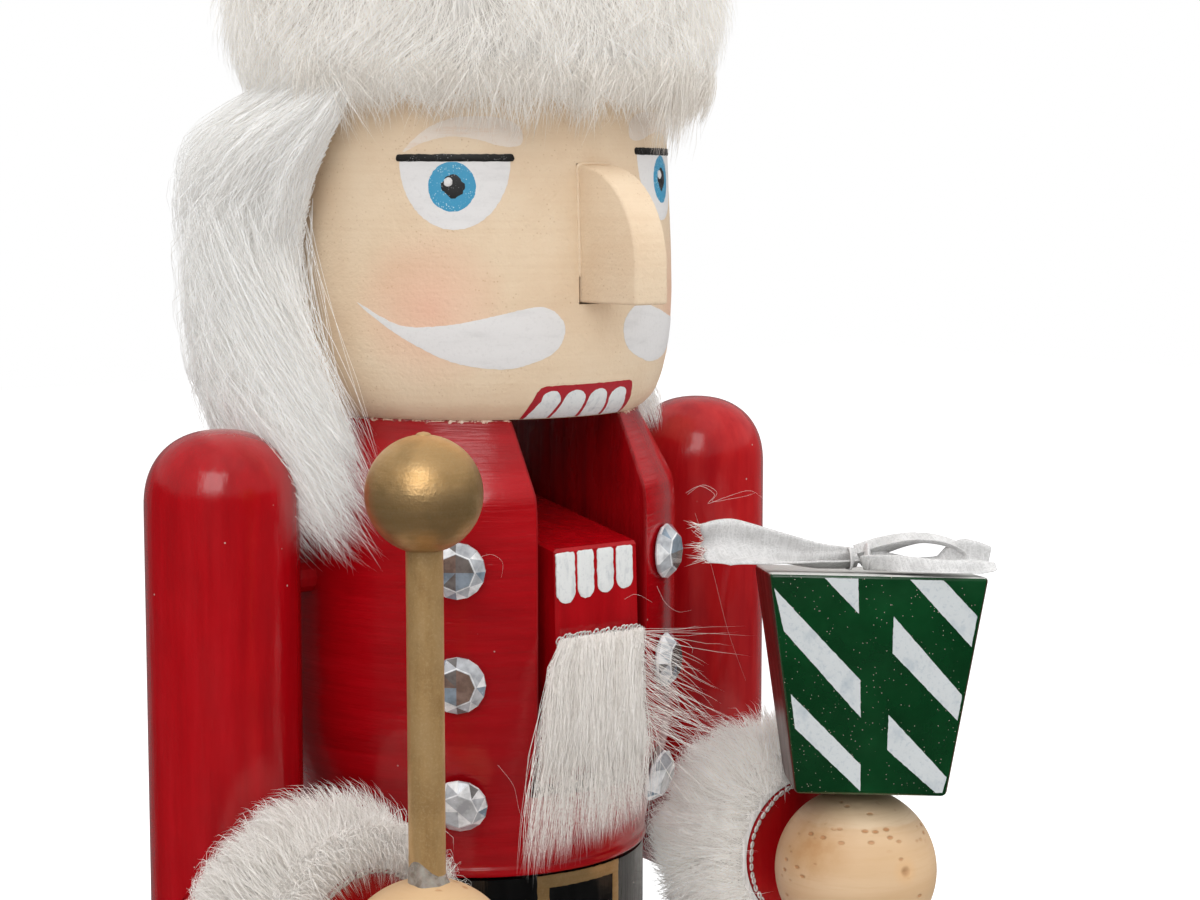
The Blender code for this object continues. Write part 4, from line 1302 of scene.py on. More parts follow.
def make_sceptre():
    """Gold ball, gold rod with its tip through the ball, and the glue at the rod's foot."""
    ball_centre = middle("sceptre_ball")
    rod = node_points("sceptre_rod")
    tip = Vector(rod[rod[:, 2] > rod[:, 2].max() - 0.0003].mean(0))
    foot = Vector(rod[rod[:, 2] < rod[:, 2].min() + 0.0004].mean(0))
    axis = (tip - foot).normalized()
    turn = axis.to_track_quat("Z", "Y").to_matrix().to_4x4()
    radius = (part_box("sceptre_ball")[1].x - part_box("sceptre_ball")[0].x) / 2
    profile = [(0, -radius)]
    profile += [(radius * math.cos(a), radius * math.sin(a)) for a in np.linspace(-1.53, 1.53, 60)]
    profile.append((0, radius))
    verts, faces = spun(profile, 96)
    place = Matrix.Translation(ball_centre) @ turn
    ball = piece("gold_ball", placed(place, verts), faces, [GOLD_BALL])
    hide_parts("sceptre_ball")
    length = (tip - foot).length
    rod_radius, tip_radius = 0.0030, 0.0013
    outline = [
        (rod_radius, 0), (rod_radius, length - 0.012), (tip_radius, length - 0.0114),
        (tip_radius, length - 0.0003), (0.0, length),
    ]
    verts, faces = spun(refined(rounded(outline, 0.0003)), 48)
    place = Matrix.Translation(foot) @ turn
    stick = piece("gold_rod", placed(place, verts), faces, [GOLD_ROD])
    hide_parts("sceptre_rod")
    make_glue(foot, axis)


def make_glue(foot, axis):
    """A lumpy collar of glue round the rod's foot, climbing higher on one side."""
    lowest = middle("hand_right").z + 0.0145 - 0.0012
    just_outside_rod = 0.00306
    rings = []
    for level in range(6):
        share = level / 5
        ring = []
        for step in range(36):
            angle = 2 * math.pi * step / 36
            lump = 0.5 * math.cos(angle + math.radians(40))
            lump = lump + 0.2 * math.sin(3 * angle + 2.0) + 0.15 * math.sin(7 * angle)
            spread = just_outside_rod + (0.0008 + 0.0012 * max(lump, -0.5)) * (1 - share) ** 1.6
            climb = max(0.0, math.cos(angle - math.radians(200))) ** 3
            height = lowest + share * (0.0026 + 0.0026 * climb)
            centre = foot + axis * (height - foot.z)
            ring.append((centre.x + spread * math.cos(angle), centre.y + spread * math.sin(angle), height))
        rings.append(ring)
    verts, faces = closed_loft(rings)
    piece("glue_at_rod", verts, faces, [GLUE], sharp=80)


# ---------------------------------------------------------------- stones


def make_gems():
    """Stones with a broad octagonal table, a bevel round it painted bright, a thin girdle and a foiled back;
    their facet tones are painted reflections.
    """
    chance = np.random.default_rng(5)
    # The tables' tones are painted reflections, paler on the lower row.
    pale_table = [LIGHT_FACET, LIGHT_FACET, WHITE_FACET, LIGHT_FACET]
    deep_table = [WARM_FACET, GREY_FACET, WARM_FACET, WARM_FACET, GREY_FACET, BLUE_FACET]
    for side in ("right", "left"):
        for row in ("upper", "middle", "lower"):
            node = f"gem_{side}_{row}"
            co = node_points(node)
            centre = Vector(co.mean(0))
            normal = Vector(np.linalg.svd(co - co.mean(0))[2][-1])
            if normal.dot(Vector((centre.x, centre.y, 0))) < 0:
                normal = -normal
            back = min((Vector(p) - centre).dot(normal) for p in co)
            turn = normal.to_track_quat("Z", "Y").to_matrix().to_4x4()
            verts, faces, slots = stone(chance, pale_table if row == "lower" else deep_table)
            verts = placed(Matrix.Translation(centre + normal * back) @ turn, verts)
            built = piece(node + "_stone", verts, faces, STONE_REFLECTION_TONES, smooth=False, slots=slots)
            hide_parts(node)


def stone(chance, table_tones):
    """Vertices, faces and facet tones of one stone, standing on Z = 0; the tones are painted reflections."""

    def circle(radius, height, count):
        angles = [2 * math.pi * k / count for k in range(count)]
        return [(radius * MM * math.cos(a), radius * MM * math.sin(a), height * MM) for a in angles]

    verts = circle(4.85, 0.0, 16) + circle(5.0, 0.3, 16) + circle(4.95, 0.75, 16)
    verts += circle(3.45, 2.30, 8) + circle(3.25, 2.42, 8) + circle(3.15, 2.5, 8)
    verts.append((0, 0, 2.5 * MM))
    low, mid, girdle, rim, edge, table, tip = 0, 16, 32, 48, 56, 64, 72
    faces, slots = [tuple(reversed(range(16)))], [LIGHT_FACET]

    def face(tone, *corners):
        faces.append(corners)
        slots.append(int(tone))

    for k in range(16):
        after = (k + 1) % 16
        face(LIGHT_FACET, low + k, low + after, mid + after, mid + k)
        face(WHITE_FACET if k % 3 else LIGHT_FACET, mid + k, mid + after, girdle + after, girdle + k)
    for k in range(8):
        after = (k + 1) % 8
        here, between, beyond = girdle + 2 * k, girdle + 2 * k + 1, girdle + (2 * k + 2) % 16
        face(
            chance.choice([WHITE_FACET, WHITE_FACET, LIGHT_FACET, LIGHT_FACET, GREY_FACET]),
            here, between, rim + k,
        )
        face(chance.choice([WHITE_FACET, LIGHT_FACET, LIGHT_FACET]), between, rim + after, rim + k)
        face(
            chance.choice([WHITE_FACET, WHITE_FACET, LIGHT_FACET, BLUE_FACET]),
            between, beyond, rim + after,
        )
        face(WHITE_FACET, rim + k, rim + after, edge + after, edge + k)
        face(LIGHT_FACET, edge + k, edge + after, table + after, table + k)
        face(chance.choice(table_tones), table + k, table + after, tip)
    return verts, faces, slots


# ---------------------------------------------------------------- gift box and bow


def box_frame():
    """Matrix of the gift box: origin in the middle of its underside, -Y out of its striped front."""
    turn = Matrix.Rotation(math.radians(-38.7), 4, "Z")
    turn = turn @ Matrix.Rotation(math.radians(1.2), 4, "Y") @ Matrix.Rotation(math.radians(-6.5), 4, "X")
    return Matrix.Translation(middle("hand_left")) @ turn @ Matrix.Translation((0.001, 0, 0.0152))


BOX_TOP_MM, BOX_BOTTOM_MM, BOX_TALL_MM = 39.2, 27.2, 39.8
BOX_TALL = BOX_TALL_MM * MM
RIBBON_WIDTH = 10 * MM
RIBBON_COLUMNS = 41


def box_half(share):
    """Half the gift box's width at a share of its height, from 0 at its foot to 1 at its lid."""
    return (BOX_BOTTOM_MM + (BOX_TOP_MM - BOX_BOTTOM_MM) * share) / 2 * MM


def make_gift_box():
    """Tapered block: green front and back with white stripes, dark red sides, pale lid."""
    place = box_frame()
    bm = bmesh.new()
    rings = []
    for share in (0, 1):
        half = box_half(share)
        corners = ((-half, -half), (half, -half), (half, half), (-half, half))
        rings.append([bm.verts.new((x, y, share * BOX_TALL)) for x, y in corners])
    bm.faces.new(rings[0][::-1])
    bm.faces.new(rings[1])
    for i in range(4):
        j = (i + 1) % 4
        bm.faces.new((rings[0][i], rings[0][j], rings[1][j], rings[1][i]))
    bmesh.ops.recalc_face_normals(bm, faces=bm.faces)
    bmesh.ops.bevel(bm, geom=bm.edges[:], offset=0.0009, segments=4, affect="EDGES", profile=0.5)
    lid, side = 1, 2
    for face in bm.faces:
        normal = face.normal
        if normal.z > 0.75:
            face.material_index = lid
        elif abs(normal.x) > abs(normal.y) * 1.02:
            face.material_index = side
    bm.transform(place)
    box = finished("painted_box", bm, [GREEN, LID_WHITE, MAROON], 35)
    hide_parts("gift_box")
    paint_stripes(place)


def paint_stripes(place):
    """Slanting stripes in two columns with a plain green band between them, on the front and on the back.

    A stripe's corners are shares of the face's width from its left edge and of its height from the lid.
    """
    slope = math.atan((BOX_TOP_MM - BOX_BOTTOM_MM) / 2 / BOX_TALL_MM)
    edge_share, edge_mm = 0.018, 0.25
    stripes = {
        "a": [(0.25, 0.0), (0.405, 0.0), (0.41, 0.175)],
        "b": [(0.012, 0.07), (0.42, 0.475), (0.425, 0.645), (0.035, 0.26)],
        "c": [(0.035, 0.545), (0.428, 0.86), (0.43, 0.995), (0.038, 0.70)],
        "d": [(0.645, 0.0), (0.80, 0.0), (0.985, 0.175), (0.985, 0.315)],
        "e": [(0.58, 0.185), (0.985, 0.535), (0.985, 0.65), (0.585, 0.35)],
        "f": [(0.585, 0.63), (0.985, 0.91), (0.975, 0.985), (0.93, 0.99), (0.59, 0.79)],
    }
    for face, sign in (("front", -1), ("back", 1)):

        def surface(across, down, lift, sign=sign):
            share = 1 - down / BOX_TALL
            out = sign * (box_half(share) + lift * math.cos(slope))
            points = np.stack([-sign * across, out, share * BOX_TALL - lift * math.sin(slope)], 1)
            return np.array(placed(place, points))

        for name, corners in stripes.items():
            outline = []
            for u, v in corners:
                v = min(max(v, edge_share), 1 - edge_share)
                half = (BOX_TOP_MM + (BOX_BOTTOM_MM - BOX_TOP_MM) * v) / 2 - edge_mm
                outline.append(((2 * u - 1) * half * MM, v * BOX_TALL))
            stripe = f"stripe_{face}_{name}"
            painted(stripe, outline, surface, STRIPE_WHITE, height=0.00009, grid=0.002, wobble=0.00005)


def ribbon_strip(centres, spreads, leans, pleats, across=None):
    """A strip of ribbon RIBBON_WIDTH wide along a line, gathered into pleats where it is spread less wide.

    Returns its points (rows, columns, 3) and its length. leans are degrees from lying flat to standing on
    edge. Each row's pleats are made just deep enough for the row to be as long as the ribbon is wide.
    """
    path = curve_through(np.array(centres, float) * MM, 9)
    count, columns = len(path), RIBBON_COLUMNS
    along = np.linspace(0, 1, count)
    spread = np.interp(along, np.linspace(0, 1, len(spreads)), spreads) * MM
    lean = np.radians(np.interp(along, np.linspace(0, 1, len(leans)), leans))
    u = np.linspace(-1, 1, columns)
    phase, other = RNG.uniform(0, 6.28, 2)
    rows = []
    for row in range(count):
        ahead = path[min(row + 1, count - 1)] - path[max(row - 1, 0)]
        ahead = ahead / np.linalg.norm(ahead)
        if across is None:
            flat = np.cross((0, 0, 1), ahead)
            flat /= np.linalg.norm(flat)
            side = flat * math.cos(lean[row]) + np.cross(ahead, flat) * math.sin(lean[row])
        else:
            side = np.array(across, float)
        normal = np.cross(side, ahead)
        shape = np.sin(math.pi * pleats * u + phase + along[row] * 1.3)
        shape = shape + 0.45 * np.sin(math.pi * pleats * 1.63 * u + other - along[row] * 2.1)
        low, high = 0.0, 6 * MM
        for _ in range(22):
            depth = (low + high) / 2
            length = np.hypot(np.diff(u * spread[row] / 2), np.diff(depth * shape)).sum()
            low, high = (depth, high) if length < RIBBON_WIDTH else (low, depth)
        rows.append(path[row] + side * (u * spread[row] / 2)[:, None] + normal * (depth * shape)[:, None])
    return np.array(rows), np.linalg.norm(np.diff(path, axis=0), axis=1).sum()


def make_bow():
    """A ribbon laid over the lid and tied once: a frayed tail to one side, a loop and a tail to the other.

    A part is its line in mm on the lid, how far it is spread along it, its leans and its pleats.
    """
    lid = box_frame() @ Matrix.Translation((0, 0, BOX_TALL + 0.0003))
    round_knot = np.radians(np.linspace(20, 380, 9))
    knot = [(-2.5, -11.8 + 2.2 * math.cos(a), 2.3 + 1.25 * math.sin(a)) for a in round_knot]
    parts = [
        (
            [(-30.4, -13, 4.2), (-26, -12.6, 4.5), (-19, -12, 3.3), (-10, -11.4, 2.1), (-3, -11.2, 2.3)],
            (7.4, 9.2, 7.6, 5.2, 3.4), (66, 64, 58, 50, 60), 1.25,
        ),
        (
            [
                (-3, -11.2, 2.6), (2, -11.6, 4.6), (8, -11.8, 5.9), (13.5, -11.6, 5.3),
                (16.4, -11.4, 3.4), (13.2, -11.2, 1.7), (6, -11.2, 1.2), (-1, -11.2, 1.9),
            ],
            (3.4, 6.4, 8.6, 9.2, 9.2, 9.0, 6.6, 3.4), (0, 0), 1.2,
        ),
        (
            [(-2, -13.4, 2.0), (4, -16.0, 1.7), (11, -17.2, 1.7), (16, -16.6, 2.8), (20.6, -15.8, 2.1)],
            (3.2, 5.6, 7.2, 8.0, 7.0), (55, 14, 14, 48, 26), 1.2,
        ),
        (knot, (4.2, 4.6, 5.0, 4.6, 4.2, 4.6, 5.0, 4.6, 4.2), (0, 0), 1.6),
    ]
    fixed_across = {1: (0.10, 0.994, 0.04), 3: (1, 0, 0)}
    outward = np.array((-1, 0, 0))
    verts, faces, total = [], [], 0.0
    frayed = None
    for index, (centres, spreads, leans, pleats) in enumerate(parts):
        rows, length = ribbon_strip(centres, spreads, leans, pleats, fixed_across.get(index))
        rows[:, :, 2] = np.maximum(rows[:, :, 2], 0.00035)
        if index == 0:
            rows[0] += outward * (np.abs(np.sin(np.linspace(0, 9, RIBBON_COLUMNS))) * 0.9 * MM)[:, None]
            frayed = rows[0]
        total += length
        start, columns = len(verts), RIBBON_COLUMNS
        verts += list(rows.reshape(-1, 3))
        for row in range(len(rows) - 1):
            for step in range(columns - 1):
                a = start + row * columns + step
                faces.append((a, a + 1, a + 1 + columns, a + columns))
    bow = piece("ribbon_bow", placed_paths(lid, np.array(verts)), faces, [RIBBON], sharp=80)
    thick = bow.modifiers.new("cloth", "SOLIDIFY")
    thick.thickness = 0.00010
    thick.offset = 0
    apply_modifiers(bow)
    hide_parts("gift_bow")
    t = np.linspace(0, 1, 4)[None, :, None]
    count = 90
    roots = frayed[RNG.integers(0, RIBBON_COLUMNS, count)][:, None]
    heading = outward + RNG.normal(0, 0.45, (count, 1, 3))
    threads = roots + heading * RNG.uniform(0.4, 2.4, (count, 1, 1)) * MM * t
    fray = tubes("ribbon_fray", placed_paths(lid, threads), np.full(count, 0.05 * MM))


# ---------------------------------------------------------------- fur


TONE_SHARES = (0.42, 0.33, 0.13, 0.12)


def tubes(name, paths, root_radius, materials=CUFF_FIBRES, body="figure"):
    """Closed, tapered three-sided strands along paths of shape (strands, points, 3)."""
    count, length = paths.shape[:2]
    steps = np.gradient(paths, axis=1)
    steps /= np.linalg.norm(steps, axis=2, keepdims=True) + 1e-12
    reference = RNG.normal(size=(count, 1, 3))
    side = np.cross(steps, reference)
    side /= np.linalg.norm(side, axis=2, keepdims=True) + 1e-12
    other = np.cross(steps, side)
    taper = np.interp(np.linspace(0, 1, length), (0, 0.55, 1), (1.0, 0.85, 0.25))
    radius = np.asarray(root_radius).reshape(-1, 1, 1) * taper[None, :, None]
    rings = []
    for angle in (0.0, 2 * math.pi / 3, 4 * math.pi / 3):
        rings.append(paths + radius * (side * math.cos(angle) + other * math.sin(angle)))
    body_rows = length - 1
    ring_verts = np.stack(rings, 2)[:, :body_rows]
    verts = np.concatenate([ring_verts.reshape(count, -1, 3), paths[:, -1:]], 1)
    per = body_rows * 3 + 1
    quads = []
    for row in range(body_rows - 1):
        for corner in range(3):
            after = (corner + 1) % 3
            here, beyond = row * 3, (row + 1) * 3
            quads.append((here + corner, here + after, beyond + after, beyond + corner))
    tip = per - 1
    last = (body_rows - 1) * 3
    triangles = [(last + c, last + (c + 1) % 3, tip) for c in range(3)] + [(2, 1, 0)]
    offsets = (np.arange(count) * per)[:, None, None]
    quads = (np.array(quads)[None] + offsets).reshape(-1, 4)
    triangles = (np.array(triangles)[None] + offsets).reshape(-1, 3)
    tone = RNG.choice(len(materials), count, p=TONE_SHARES)
    tones = np.concatenate([np.repeat(tone, (body_rows - 1) * 3), np.repeat(tone, 4)])
    mesh = new_mesh(name, materials)
    mesh.vertices.add(count * per)
    mesh.vertices.foreach_set("co", verts.reshape(-1).astype(np.float32))
    corners = np.concatenate([quads.reshape(-1), triangles.reshape(-1)]).astype(np.int32)
    mesh.loops.add(len(corners))
    mesh.loops.foreach_set("vertex_index", corners)
    totals = np.concatenate([np.full(len(quads), 4), np.full(len(triangles), 3)]).astype(np.int32)
    starts = np.concatenate([[0], np.cumsum(totals)[:-1]]).astype(np.int32)
    mesh.polygons.add(len(totals))
    mesh.polygons.foreach_set("loop_start", starts)
    mesh.polygons.foreach_set("loop_total", totals)
    mesh.polygons.foreach_set("material_index", tones.astype(np.int32))
    mesh.polygons.foreach_set("use_smooth", np.ones(len(totals), bool))
    mesh.update(calc_edges=True)
    obj = linked(name, mesh)
    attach(obj, body)
    return obj


def smooth_noise(values, scale, seed):
    """Smooth pseudo-random waves over an array of coordinates, about -1 to 1."""
    waves = np.random.default_rng(seed)
    total = np.zeros(values.shape[:-1])
    for _ in range(5):
        direction = waves.normal(size=values.shape[-1]) * scale
        total += np.sin(values @ direction + waves.uniform(0, 6.28))
    return total / 2.6


def clumped(paths, size, pull, seed):
    """Draws the tips of neighbouring strands together into locks about size across."""
    roots = paths[:, 0]
    cells = np.floor(roots / size + np.random.default_rng(seed).uniform(0, 1, 3)).astype(int)
    _, group = np.unique(cells, axis=0, return_inverse=True)
    group = group.reshape(-1)
    number = group.max() + 1
    sizes = np.bincount(group, minlength=number).reshape(-1, 1, 1)
    totals = np.zeros((number, *paths.shape[1:]))
    np.add.at(totals, group, paths)
    means = (totals / sizes)[group]
    share = (np.linspace(0, 1, paths.shape[1]) ** 1.5)[None, :, None] * pull
    return paths + (means - paths) * share


def ring_fur(
    name, place, count, section, flow, length, spread, start=0.0, end=2 * math.pi, radius=0.055 * MM,
    seed=1, stand=1.5, sway=0.10, wild=0.05, guard=0.10, clump=(2.2 * MM, 0.45), droop=0.0, clear_of=None,
    fibres=CUFF_FIBRES,
):
    """Fur round an axis. section(phi, share) gives (radius, height) from skin, share 0, to pile, share 1.

    A strand starts at phi on the skin and ends flow * length radians further on. stand is how upright it
    rises, and sway and wild how far neighbours wander together and alone. guard is the share of longer hairs
    that stand out of the pile, clump the locks' size and pull, and droop how far tips hang.
    clear_of(paths) drops strands that would run into something.
    """
    theta = RNG.uniform(start, end, count)
    phi = RNG.uniform(min(spread), max(spread), count)
    layer = RNG.uniform(0.35, 1.0, count) ** 0.6
    reach = length * RNG.uniform(0.65, 1.15, count)
    long_hair = RNG.uniform(0, 1, count) < guard
    layer = np.where(long_hair, RNG.uniform(1.0, 1.5, count), layer)
    reach = np.where(long_hair, reach * 1.15, reach)
    t = np.linspace(0, 1, 5)[None, :]
    drift = smooth_noise(np.stack([theta * 6, phi * 3], 1), 1.0, seed) * sway
    drift = drift + smooth_noise(np.stack([theta * 26, phi * 9], 1), 1.0, seed + 7) * sway * 0.45
    drift = drift + RNG.normal(0, wild, count) * np.where(long_hair, 1.6, 1.0)
    rise = (1 - (1 - t) ** stand) * layer[:, None]
    angle = theta[:, None] + drift[:, None] * t**1.2
    where = phi[:, None] + flow * reach[:, None] * t
    radial, axial = section(where, rise)
    axial = axial - droop * t**2 + RNG.normal(0, 0.8 * MM, (count, 1)) * t**1.5
    radial = radial + RNG.normal(0, 0.5 * MM, (count, 1)) * t**2
    paths = np.stack([radial * np.cos(angle), radial * np.sin(angle), axial], 2)
    paths = clumped(paths, clump[0], clump[1], seed)
    paths += RNG.normal(0, 0.06 * MM, paths.shape) * t[..., None]
    paths = placed_paths(place, paths)
    if clear_of:
        paths = paths[clear_of(paths)]
    return tubes(name, paths, radius * RNG.uniform(0.7, 1.2, len(paths)), fibres)


def ring_skin(name, place, section, rings, inner):
    """The root layer under ring fur: a closed shell a little proud of what it is wrapped round."""
    rows, proud = 18, 0.12
    phis = np.linspace(1.5, -1.5, rows)
    loops = []
    for theta in np.linspace(0.0, 2 * math.pi, rings, endpoint=False):
        radial, axial = section(phis, np.full(rows, proud))
        radial = radial + 0.25 * MM * np.sin(phis * 23 + theta * 31)
        profile = [*zip(radial, axial), (inner, axial[-1]), (inner, axial[0])]
        loops.append([(r * math.cos(theta), r * math.sin(theta), z) for r, z in profile])
    loops.append(loops[0])
    verts, faces = closed_loft(loops, cap=False)
    last = rings * len(loops[0])
    faces = [tuple(i % last for i in face) for face in faces]
    return piece(name, placed(place, verts[:last]), faces, [GROUND], sharp=80)


def half_round(inner, centre, skin, pile):
    """Section function of a fur band: half ellipses (skin and pile half sizes) standing on radius inner.

    Below the band's lower edge the pile hangs on, close to the surface it is wrapped round.
    """

    def section(phi, share):
        across = skin[0] + (pile[0] - skin[0]) * share
        along = skin[1] + (pile[1] - skin[1]) * share
        over = np.maximum(-phi - math.pi / 2, 0)
        radial = inner + across * np.maximum(np.cos(phi), 0.05)
        return radial, centre + along * np.sin(np.maximum(phi, -math.pi / 2)) - over * along

    return section


def make_hat():
    """Lacquered crown, the long fur of the band, and the pompom."""
    replace_turned("hat_dome", "hat_crown", [RED_TURNED], edge=0.001)
    low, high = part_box("hat_fur_band")
    centre = (low.z + high.z) / 2
    inner = 0.0368
    section = half_round(inner, centre, (4.0 * MM, 20.4 * MM), (10.2 * MM, 22.6 * MM))
    origin = Matrix.Identity(4)
    skin = ring_skin("hat_fur_skin", origin, section, 120, inner)
    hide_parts("hat_fur_band")
    for part in range(4):
        start = 2 * math.pi * part / 4
        ring_fur(
            f"hat_fur_{part + 1}", origin, 9000, section, -34.0, 13 * MM, (1.45, -1.34),
            start, start + math.pi / 2, seed=11 + part, sway=0.17, wild=0.12, guard=0.14,
            clump=(3.2 * MM, 0.35), droop=1.2 * MM, fibres=HAT_FIBRES,
        )
    make_forelock()
    make_pompom()


def make_forelock():
    """Hairs of the band's lower edge that hang over the forehead and the temples.

    They lie in degrees from the front and in mm. heavy marks where thicker locks hang lower.
    """
    count = 2900
    angle = RNG.uniform(-80, 78, count)
    heavy = (np.abs(angle + 28) < 10) | (np.abs(angle + 8) < 5) | (np.abs(angle + 74) < 7)
    hang = 0.6 + 6.4 * RNG.uniform(0, 1, count) ** 1.3 + np.where(heavy, RNG.uniform(0, 5.5, count), 0)
    hang = hang + np.where(np.abs(angle - 21) < 6, RNG.uniform(1.0, 9.5, count), 0)
    hang = np.maximum(hang + 1.5 * np.sin(angle * 0.45) * np.sin(angle * 0.13), 0.3)
    t = np.linspace(0, 1, 5)[None, :]
    height = 59.8 + RNG.uniform(-1, 3.5, count)[:, None] - (3.5 + hang)[:, None] * t
    start = RNG.uniform(38.6, 44.5, count)[:, None]
    radial = start + (np.maximum(36.6, start - 3.0) - start) * t**1.4
    radial = radial + RNG.uniform(0, 1.8, count)[:, None] * t
    sideways = RNG.normal(0, 0.11, count) + 0.08 * np.sin(angle * 0.35)
    turned = np.radians(angle)[:, None] + sideways[:, None] * t
    paths = np.stack([radial * np.sin(turned), -radial * np.cos(turned), SEAT / MM + height], 2) * MM
    paths = clumped(paths, 2.2 * MM, 0.62, 17)
    # The fringe takes the darker fibres: painted shade under the brim.
    tubes("forelock", paths, 0.05 * MM * RNG.uniform(0.6, 1.3, count), SHADED_FRINGE_FIBRES)


def make_pompom():
    """A round core with strands standing out of it."""
    centre = middle("hat_pompom")
    radius = (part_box("hat_pompom")[1].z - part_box("hat_pompom")[0].z) / 2
    core, count = radius * 0.62, 3600
    slopes = np.linspace(-1.45, 1.45, 22)
    profile = [(0, -core), *[(core * math.cos(a), core * math.sin(a)) for a in slopes], (0, core)]
    verts, faces = spun(profile, 40)
    skin = piece("pompom_core", [Vector(v) + centre for v in verts], faces, [GROUND], sharp=80)
    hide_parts("hat_pompom")
    directions = RNG.normal(size=(count, 3))
    directions /= np.linalg.norm(directions, axis=1, keepdims=True)
    t = np.linspace(0, 1, 4)[None, :, None]
    reach = radius * RNG.uniform(0.86, 1.04, (count, 1, 1))
    bend = RNG.normal(0, 1, (count, 1, 3)) * 1.1 * MM
    paths = np.array(centre) + directions[:, None] * (core * 0.9 + (reach - core * 0.9) * t) + bend * t**2
    paths = clumped(paths, 2.0 * MM, 0.35, 5)
    tubes("pompom_fur", paths, 0.07 * MM * RNG.uniform(0.7, 1.2, count), HAT_FIBRES)


# Height above the seat and outer radius of the hair, then height in mm and the degrees of its edge.
HAIR_OUTER = np.array([
    (-12, 46.5), (-6, 48.5), (0, 50.5), (6, 52.6), (15, 54.0), (29, 54.6),
    (38, 55.0), (45, 54.2), (51, 51.6), (57, 45.5), (62, 40),
]) * MM
HAIR_FRONT = np.array([
    (-12, 70.0), (1.5, 78.0), (5.3, 82.0), (13.8, 90.0), (24.3, 93.0),
    (31.4, 92.0), (41.9, 87.0), (52.2, 78.5), (60, 74),
])


def hair_front(height, side):
    """Angle from the front, in radians, of the hair's edge over the face on one side."""
    angle = np.interp(height / MM, HAIR_FRONT[:, 0], HAIR_FRONT[:, 1])
    return np.radians(angle + (16.0 if side > 0 else -5.5))


def hair_envelope(angle, height, side):
    """Outer radius of the hair: full at the back, falling off in a round edge towards the face."""
    outer = np.interp(height, HAIR_OUTER[:, 0], HAIR_OUTER[:, 1])
    inwards = np.clip((angle - hair_front(height, side)) / math.radians(15), 0, 1)
    skin = 38.6 * MM
    return skin + (outer - skin) * np.sqrt(1 - (1 - inwards) ** 2) ** 0.8


def hair_points(angle, height, radius, side):
    """Points at an angle from the front towards the figure's left (side 1) or right (side -1)."""
    return np.stack([side * radius * np.sin(angle), -radius * np.cos(angle), SEAT + height], -1)


def make_hair():
    """The wig: combed down all round, its edge over the face cut along a curve, with loose locks below."""
    root_radius, inner_radius = 38.2 * MM, 36.9 * MM
    for side, label in ((-1, "right"), (1, "left")):
        loops = []
        for height in np.linspace(1.2, 56, 26) * MM:
            start = float(hair_front(height, side)) + 0.05
            angles = np.concatenate([[start], np.linspace(start + 0.03, math.pi + 0.02, 40)])
            outer = root_radius + (hair_envelope(angles, height, side) - root_radius) * 0.30
            outer[0] = 37.4 * MM
            ring = [hair_points(a, height, r, side) for a, r in zip(angles, outer)]
            back = (math.pi + 0.02, 2.6, 2.1, start + 0.03)
            ring += [hair_points(a, height, inner_radius, side) for a in back]
            loops.append(ring)
        verts, faces = closed_loft(loops)
        skin = piece(f"hair_skin_{label}", verts, faces, [GROUND], sharp=80)
        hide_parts("hair")
        for part in range(3):
            hair_strands(f"hair_fur_{label}_{part + 1}", side, part, 6800 if part < 2 else 5200)
        make_lock(side, label)


def hair_strands(name, side, part, count):
    """Part 0 roots in the front half, part 1 in the back half, part 2 along the edge over the face."""
    root = RNG.uniform(3, 61, count) * MM
    front = hair_front(root, side)
    share = RNG.uniform(0.0, 1.0, count)
    if part == 2:
        angle = front + RNG.normal(0.01, 0.035, count)
    else:
        angle = front + (math.pi + 0.03 - front) * (0.52 * share if part == 0 else 0.48 + 0.52 * share)
    length = RNG.uniform(10, 21, count) * MM if part < 2 else RNG.uniform(5, 13, count) * MM
    layer = RNG.uniform(0.25, 1.0, count) ** 0.5 if part < 2 else RNG.uniform(0.0, 1.0, count)
    loose_share = 0.08
    loose = RNG.uniform(0, 1, count) < loose_share
    layer = np.where(loose, RNG.uniform(1.0, 1.18, count), layer)
    t = np.linspace(0, 1, 6)[None, :]
    height = root[:, None] - length[:, None] * t
    lean = np.interp(root / MM, (0, 14, 30, 50, 60), (-0.12, -0.06, 0.02, 0.10, 0.16))
    if part == 2:
        lean = lean - RNG.uniform(0.0, 0.16, count)
    sway = smooth_noise(np.stack([angle * 5, root * 80], 1), 1.0, 31 + side) * 0.085
    sway = sway + smooth_noise(np.stack([angle * 22, root * 300], 1), 1.0, 37 + side) * 0.050
    sway = sway + RNG.normal(0, 0.05, count) * np.where(loose, 1.8, 1.0) + lean
    wave = 0.014 * np.sin(t * 5 + RNG.uniform(0, 6.28, (count, 1)))
    turned = angle[:, None] + sway[:, None] * t + wave * t
    edge = hair_front(height, side)
    over = RNG.uniform(0.0, 0.10 if part == 2 else 0.03, count)[:, None]
    turned = np.maximum(turned, edge - over * np.maximum(t, 0.35))
    rise = 1 - (1 - np.minimum(t * 1.4, 1)) ** 1.8
    root_radius, least_radius = 38.0 * MM, 37.2 * MM
    outer = hair_envelope(np.maximum(turned, edge + 0.035), height, side)
    radial = root_radius + (outer - root_radius) * (0.15 + 0.85 * rise * layer[:, None])
    radial = radial + RNG.normal(0, 0.5 * MM, (count, 1)) * t**2
    paths = hair_points(turned, height, np.maximum(radial, least_radius), side)
    paths = clumped(paths, (2.2 if part == 0 else 2.8) * MM, 0.50, 41 + side + part)
    paths += RNG.normal(0, 0.06 * MM, paths.shape) * t[..., None]
    return tubes(name, paths, 0.062 * MM * RNG.uniform(0.6, 1.3, count), HAIR_FIBRES)


